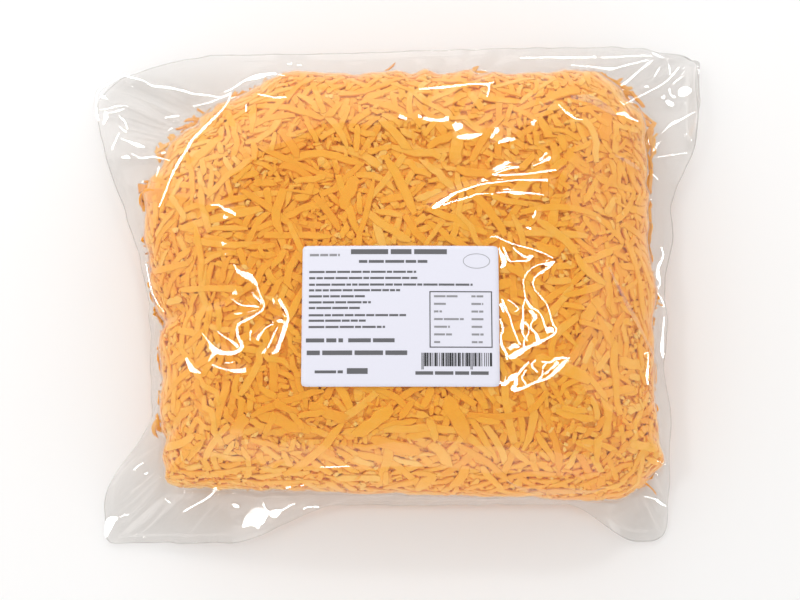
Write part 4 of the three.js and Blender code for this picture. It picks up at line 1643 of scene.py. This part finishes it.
seen_heights = film_heights()
lit_left = flats_along(LEFT_CREASES, seen_heights, "left_lamp")
lit_key = flats_along(KEY_CREASES, seen_heights, "key_lamp")
add_flats("crease_flats", np.concatenate([lit_left, lit_key]), FILM)
add_flats("pale_folds", flats_along(PALE_FOLDS, seen_heights), FOLDED_FILM)

# %% [markdown]
# ## The label
#
# The label is a sheet of paper that follows the film's dome, 100 mm by 72 mm,
# with small round corners. It is the same grid over a rounded square as the
# pouch, only flatter, with a band round its edge.

# %% The paper
LABEL_THICK = 0.35
LABEL_LIFT = 0.3
LABEL_ROUND = 1.5
LABEL_CELLS = 40


def label_place(across, down):
    """A point of the label's top at millimetres from its upper left corner."""
    x = LABEL_MIDDLE[0] - LABEL_SIZE[0] / 2 + across
    y = LABEL_MIDDLE[1] + LABEL_SIZE[1] / 2 - down
    return np.stack([x, y, crown_height(x, y) + LABEL_LIFT + LABEL_THICK], -1)


def add_label():
    """The top, the same points a thickness below, and the band between them."""
    t = np.linspace(-1, 1, LABEL_CELLS + 1)
    s_grid, t_grid = np.meshgrid(t, t)
    m, a, b = heading_of(s_grid, t_grid)
    ra, rb = rounded(a, b, 2 * LABEL_ROUND / LABEL_SIZE[1], 2)
    across = (ra * m + 1) / 2 * LABEL_SIZE[0]
    down = (1 - rb * m) / 2 * LABEL_SIZE[1]
    top = label_place(across, down)
    under = top - np.array([0, 0, LABEL_THICK])
    size = LABEL_CELLS + 1
    quads = grid_quads(size, size)
    index = np.arange(size * size).reshape(size, size)
    front, right, back, left = index[0], index[:, -1], index[-1, ::-1], index[::-1, 0]
    edge = np.concatenate([front[:-1], right[:-1], back[:-1], left[:-1]])
    following = np.roll(edge, -1)
    below = size * size
    band = np.stack([edge, edge + below, following + below, following], -1)
    faces = np.concatenate([quads, below + quads[:, ::-1], band])
    points = np.concatenate([top.reshape(-1, 3), under.reshape(-1, 3)])
    add_piece("label_sheet", points, faces, PAPER, "label")


add_label()

# %% [markdown]
# Its print is only a layout: rows of plain grey bars, a pattern of upright bars,
# an empty oval and a ruled box. An image could carry it, but flat rectangles stay
# sharp at any size. A seeded draw sets the bars' lengths.

# %% Rectangles on the label
INK_LIFT = 0.05
SHORT_BOX = 4.0  # the longest rectangle that still follows the dome
BAR_SHARE, GAP_SHARE = 0.72, 0.38  # of a row's height


class Print:
    """Rectangles on the label, kept as lists until they become one mesh."""

    def __init__(self):
        self.boxes = []

    def box(self, left, top, width, height):
        """One rectangle, cut into short ones so that it follows the label's dome."""
        columns, rows = math.ceil(width / SHORT_BOX), math.ceil(height / SHORT_BOX)
        wide, tall = width / columns, height / rows
        for i in range(columns):
            for j in range(rows):
                self.boxes.append((left + i * wide, top + j * tall, wide, tall))

    def row(self, left, right, middle, height, seed):
        """A row of plain bars of drawn lengths, with gaps between them."""
        draw = np.random.default_rng(seed)
        at = left
        while at < right - 0.4 * height:
            wide = min(draw.uniform(1.5, 5.5) * height, right - at)
            self.box(at, middle - BAR_SHARE / 2 * height, wide, BAR_SHARE * height)
            at += wide + GAP_SHARE * height

    def frame(self, left, top, width, height, line):
        """Four thin rectangles round an empty box."""
        self.box(left, top, width, line)
        self.box(left, top + height - line, width, line)
        self.box(left, top, line, height)
        self.box(left + width - line, top, line, height)

    def add(self, name, material):
        """All rectangles as one piece, laid on the label's top."""
        left, top, width, height = np.array(self.boxes).T
        across = np.stack([left, left + width, left + width, left], -1)
        down = np.stack([top + height, top + height, top, top], -1)
        points = label_place(across, down) + np.array([0, 0, INK_LIFT])
        quads = np.arange(points.shape[0] * 4).reshape(-1, 4)
        add_piece(name, points, quads, material, "label", smooth=False)


# %% [markdown]
# The layout is a table in millimetres from the label's upper left corner. The
# rows are in two greys, and the upright bars and the box's frame are black, as
# solid print is.

# %% The layout
# Each row: its left and right end, its middle, its height and its seed.
GREY_ROWS = [(24.7, 75, 3.1, 3.6, 101), (28.8, 63.7, 8.2, 2.0, 102)]
LINES = [(13.6, 58), (16.8, 58.6), (20.2, 86.7), (23.1, 49.8), (26.2, 31.9)]
LINES += [(29.3, 35), (32.2, 29.4), (35.9, 53.9), (38.7, 32.4), (41.9, 42.2)]
GREY_ROWS += [(3.5, right, down, 1.5, 110 + k) for k, (down, right) in enumerate(LINES)]
GREY_ROWS += [(2.2, 21, 48.7, 2.8, 130), (23.6, 47.8, 48.7, 2.8, 131)]
GREY_ROWS += [(2.7, 53.4, 55, 3.2, 132), (6.8, 21, 64.6, 2.0, 133)]
GREY_ROWS += [(23, 33.5, 64.2, 4.0, 134), (57.5, 94.4, 65.2, 2.4, 160)]
FAINT_ROWS = [(3.7, 19, 4.8, 1.7, 103)]
for number, wide in enumerate((12, 6, 4, 15, 8, 9, 3)):
    FAINT_ROWS.append((67, 67 + wide, 26.2 + 3.9 * number, 1.4, 140 + number))
    FAINT_ROWS.append((86, 92, 26.2 + 3.9 * number, 1.4, 150 + number))
RULED_BOX = (64.7, 23.6, 31.8, 28.8, 0.5)
BARS_LEFT, BARS_RIGHT, BARS_TOP = 60.6, 96.5, 55
BAR_UNIT = 35.9 / 95
BAR_SQUEEZE = 0.86
BAR_HIGH, LONG_BAR_HIGH = 6.8, 8.4
OVAL_MIDDLE, OVAL_HALF, OVAL_LINE = (88.8, 7.9), (6.9, 3.9), 0.28
OVAL_STEPS = 64


def upright_bars(sheet):
    """Bars and gaps of one to three units, drawn by a seed, with longer pairs at
    both ends and in the middle."""
    draw = np.random.default_rng(170)
    at = BARS_LEFT
    for group in range(24):
        long = group in (0, 12, 23)
        widths = [1, 1, 2, 3] if group % 2 else [1, 2, 2, 1]
        widths = (1, 1, 1, 1) if long else draw.permutation(widths)
        for bar, gap in (widths[:2], widths[2:]):
            if at + bar * BAR_UNIT < BARS_RIGHT:
                high = LONG_BAR_HIGH if long else BAR_HIGH
                sheet.box(at, BARS_TOP, bar * BAR_UNIT, high)
            at += (bar + gap) * BAR_UNIT * BAR_SQUEEZE


def print_label():
    """Three inks, each with its own rectangles."""
    dark, grey, faint = Print(), Print(), Print()
    for values in GREY_ROWS:
        grey.row(*values)
    for values in FAINT_ROWS:
        faint.row(*values)
    dark.frame(*RULED_BOX)
    upright_bars(dark)
    dark.add("label_print", INK)
    grey.add("label_rows", ROW_INK)
    faint.add("label_faint_print", FAINT_INK)


def add_oval():
    """A ring between an ellipse and the same one, a line's width further in."""
    angle = np.linspace(0, 2 * np.pi, OVAL_STEPS, endpoint=False)
    rings = []
    for inset in (0, OVAL_LINE):
        across = OVAL_MIDDLE[0] + (OVAL_HALF[0] - inset) * np.cos(angle)
        down = OVAL_MIDDLE[1] - (OVAL_HALF[1] - inset) * np.sin(angle)
        rings.append(label_place(across, down) + np.array([0, 0, INK_LIFT]))
    index = np.arange(OVAL_STEPS)
    following = np.roll(index, -1)
    inner = OVAL_STEPS
    quads = np.stack([index, following, following + inner, index + inner], -1)
    add_piece("label_oval", np.concatenate(rings), quads, FAINT_INK, "label")


print_label()
add_oval()

# %% [markdown]
# ## Light, floor and room
#
# The photograph is lit softly from all round, so most of the light is a pale
# room, darker overhead, where a bright one would lie on the film's flat top as a
# veil. All lamps stand aslant for the same reason. The two small ones are seen
# in the creases, and the three large ones are dim, or they would fill the empty
# corners with white.

# %% The lamps and the room
ROOM_STRENGTH = 1.18
ROOM_SIDES, ROOM_TOP = (1.0, 0.99, 0.98, 1), (0.30, 0.30, 0.30, 1)
FADE_FROM, FADE_TO = 0.35, 0.95  # heights on a sphere of radius 1


def add_lamp(name, place, size, power):
    """A rectangular lamp that faces the middle of the part."""
    light = bpy.data.lights.new(name, "AREA")
    light.shape = "RECTANGLE"
    light.size, light.size_y = size
    light.energy = power
    lamp = bpy.data.objects.new(name, light)
    lamp.location = place * MM
    aim = Vector(PART_MIDDLE - place)
    lamp.rotation_euler = aim.to_track_quat("-Z", "Y").to_euler()
    bpy.context.scene.collection.objects.link(lamp)


def add_room():
    """The world's colour is a ramp over the height of each direction."""
    world = bpy.data.worlds.new("room")
    world.use_nodes = True
    nodes, links = world.node_tree.nodes, world.node_tree.links
    background = nodes["Background"]
    way = nodes.new("ShaderNodeTexCoord")
    parts = nodes.new("ShaderNodeSeparateXYZ")
    ramp = nodes.new("ShaderNodeValToRGB")
    low, high = ramp.color_ramp.elements
    low.position, low.color = FADE_FROM, ROOM_SIDES
    high.position, high.color = FADE_TO, ROOM_TOP
    link_all(
        links,
        (way, "Generated", parts, "Vector"),
        (parts, "Z", ramp, "Fac"),
        (ramp, "Color", background, "Color"),
    )
    set_values(background, Strength=ROOM_STRENGTH)
    bpy.context.scene.world = world
    for name, lamp in LAMPS.items():
        add_lamp(name, lamp_place(lamp), lamp["size"], lamp["power"])


add_room()

# %% [markdown]
# The floor is a plain pale sheet, matt, so that it shows only soft shadows. It
# is the stage and no part of the object. The plain view transform keeps the
# colours as they are set.

# %% The floor
FLOOR_HALF = 3.0  # metres
FLOOR_COLOUR = (0.97, 0.97, 0.97, 1)


def add_floor():
    """One square face at the height of the surface that the pouch lies on."""
    material, nodes, links = new_material("pale_floor")
    output = nodes.new("ShaderNodeOutputMaterial")
    shader = nodes.new("ShaderNodeBsdfPrincipled")
    set_values(shader, Base_Color=FLOOR_COLOUR, Roughness=0.8)
    link_all(links, (shader, "BSDF", output, "Surface"))
    mesh = bpy.data.meshes.new("floor")
    corners = np.array([(-1, -1, 0), (1, -1, 0), (1, 1, 0), (-1, 1, 0)]) * FLOOR_HALF
    mesh.from_pydata(corners, [], [(0, 1, 2, 3)])
    mesh.materials.append(material)
    floor = bpy.data.objects.new("floor", mesh)
    bpy.context.scene.collection.objects.link(floor)


add_floor()
bpy.context.scene.view_settings.view_transform = "Standard"
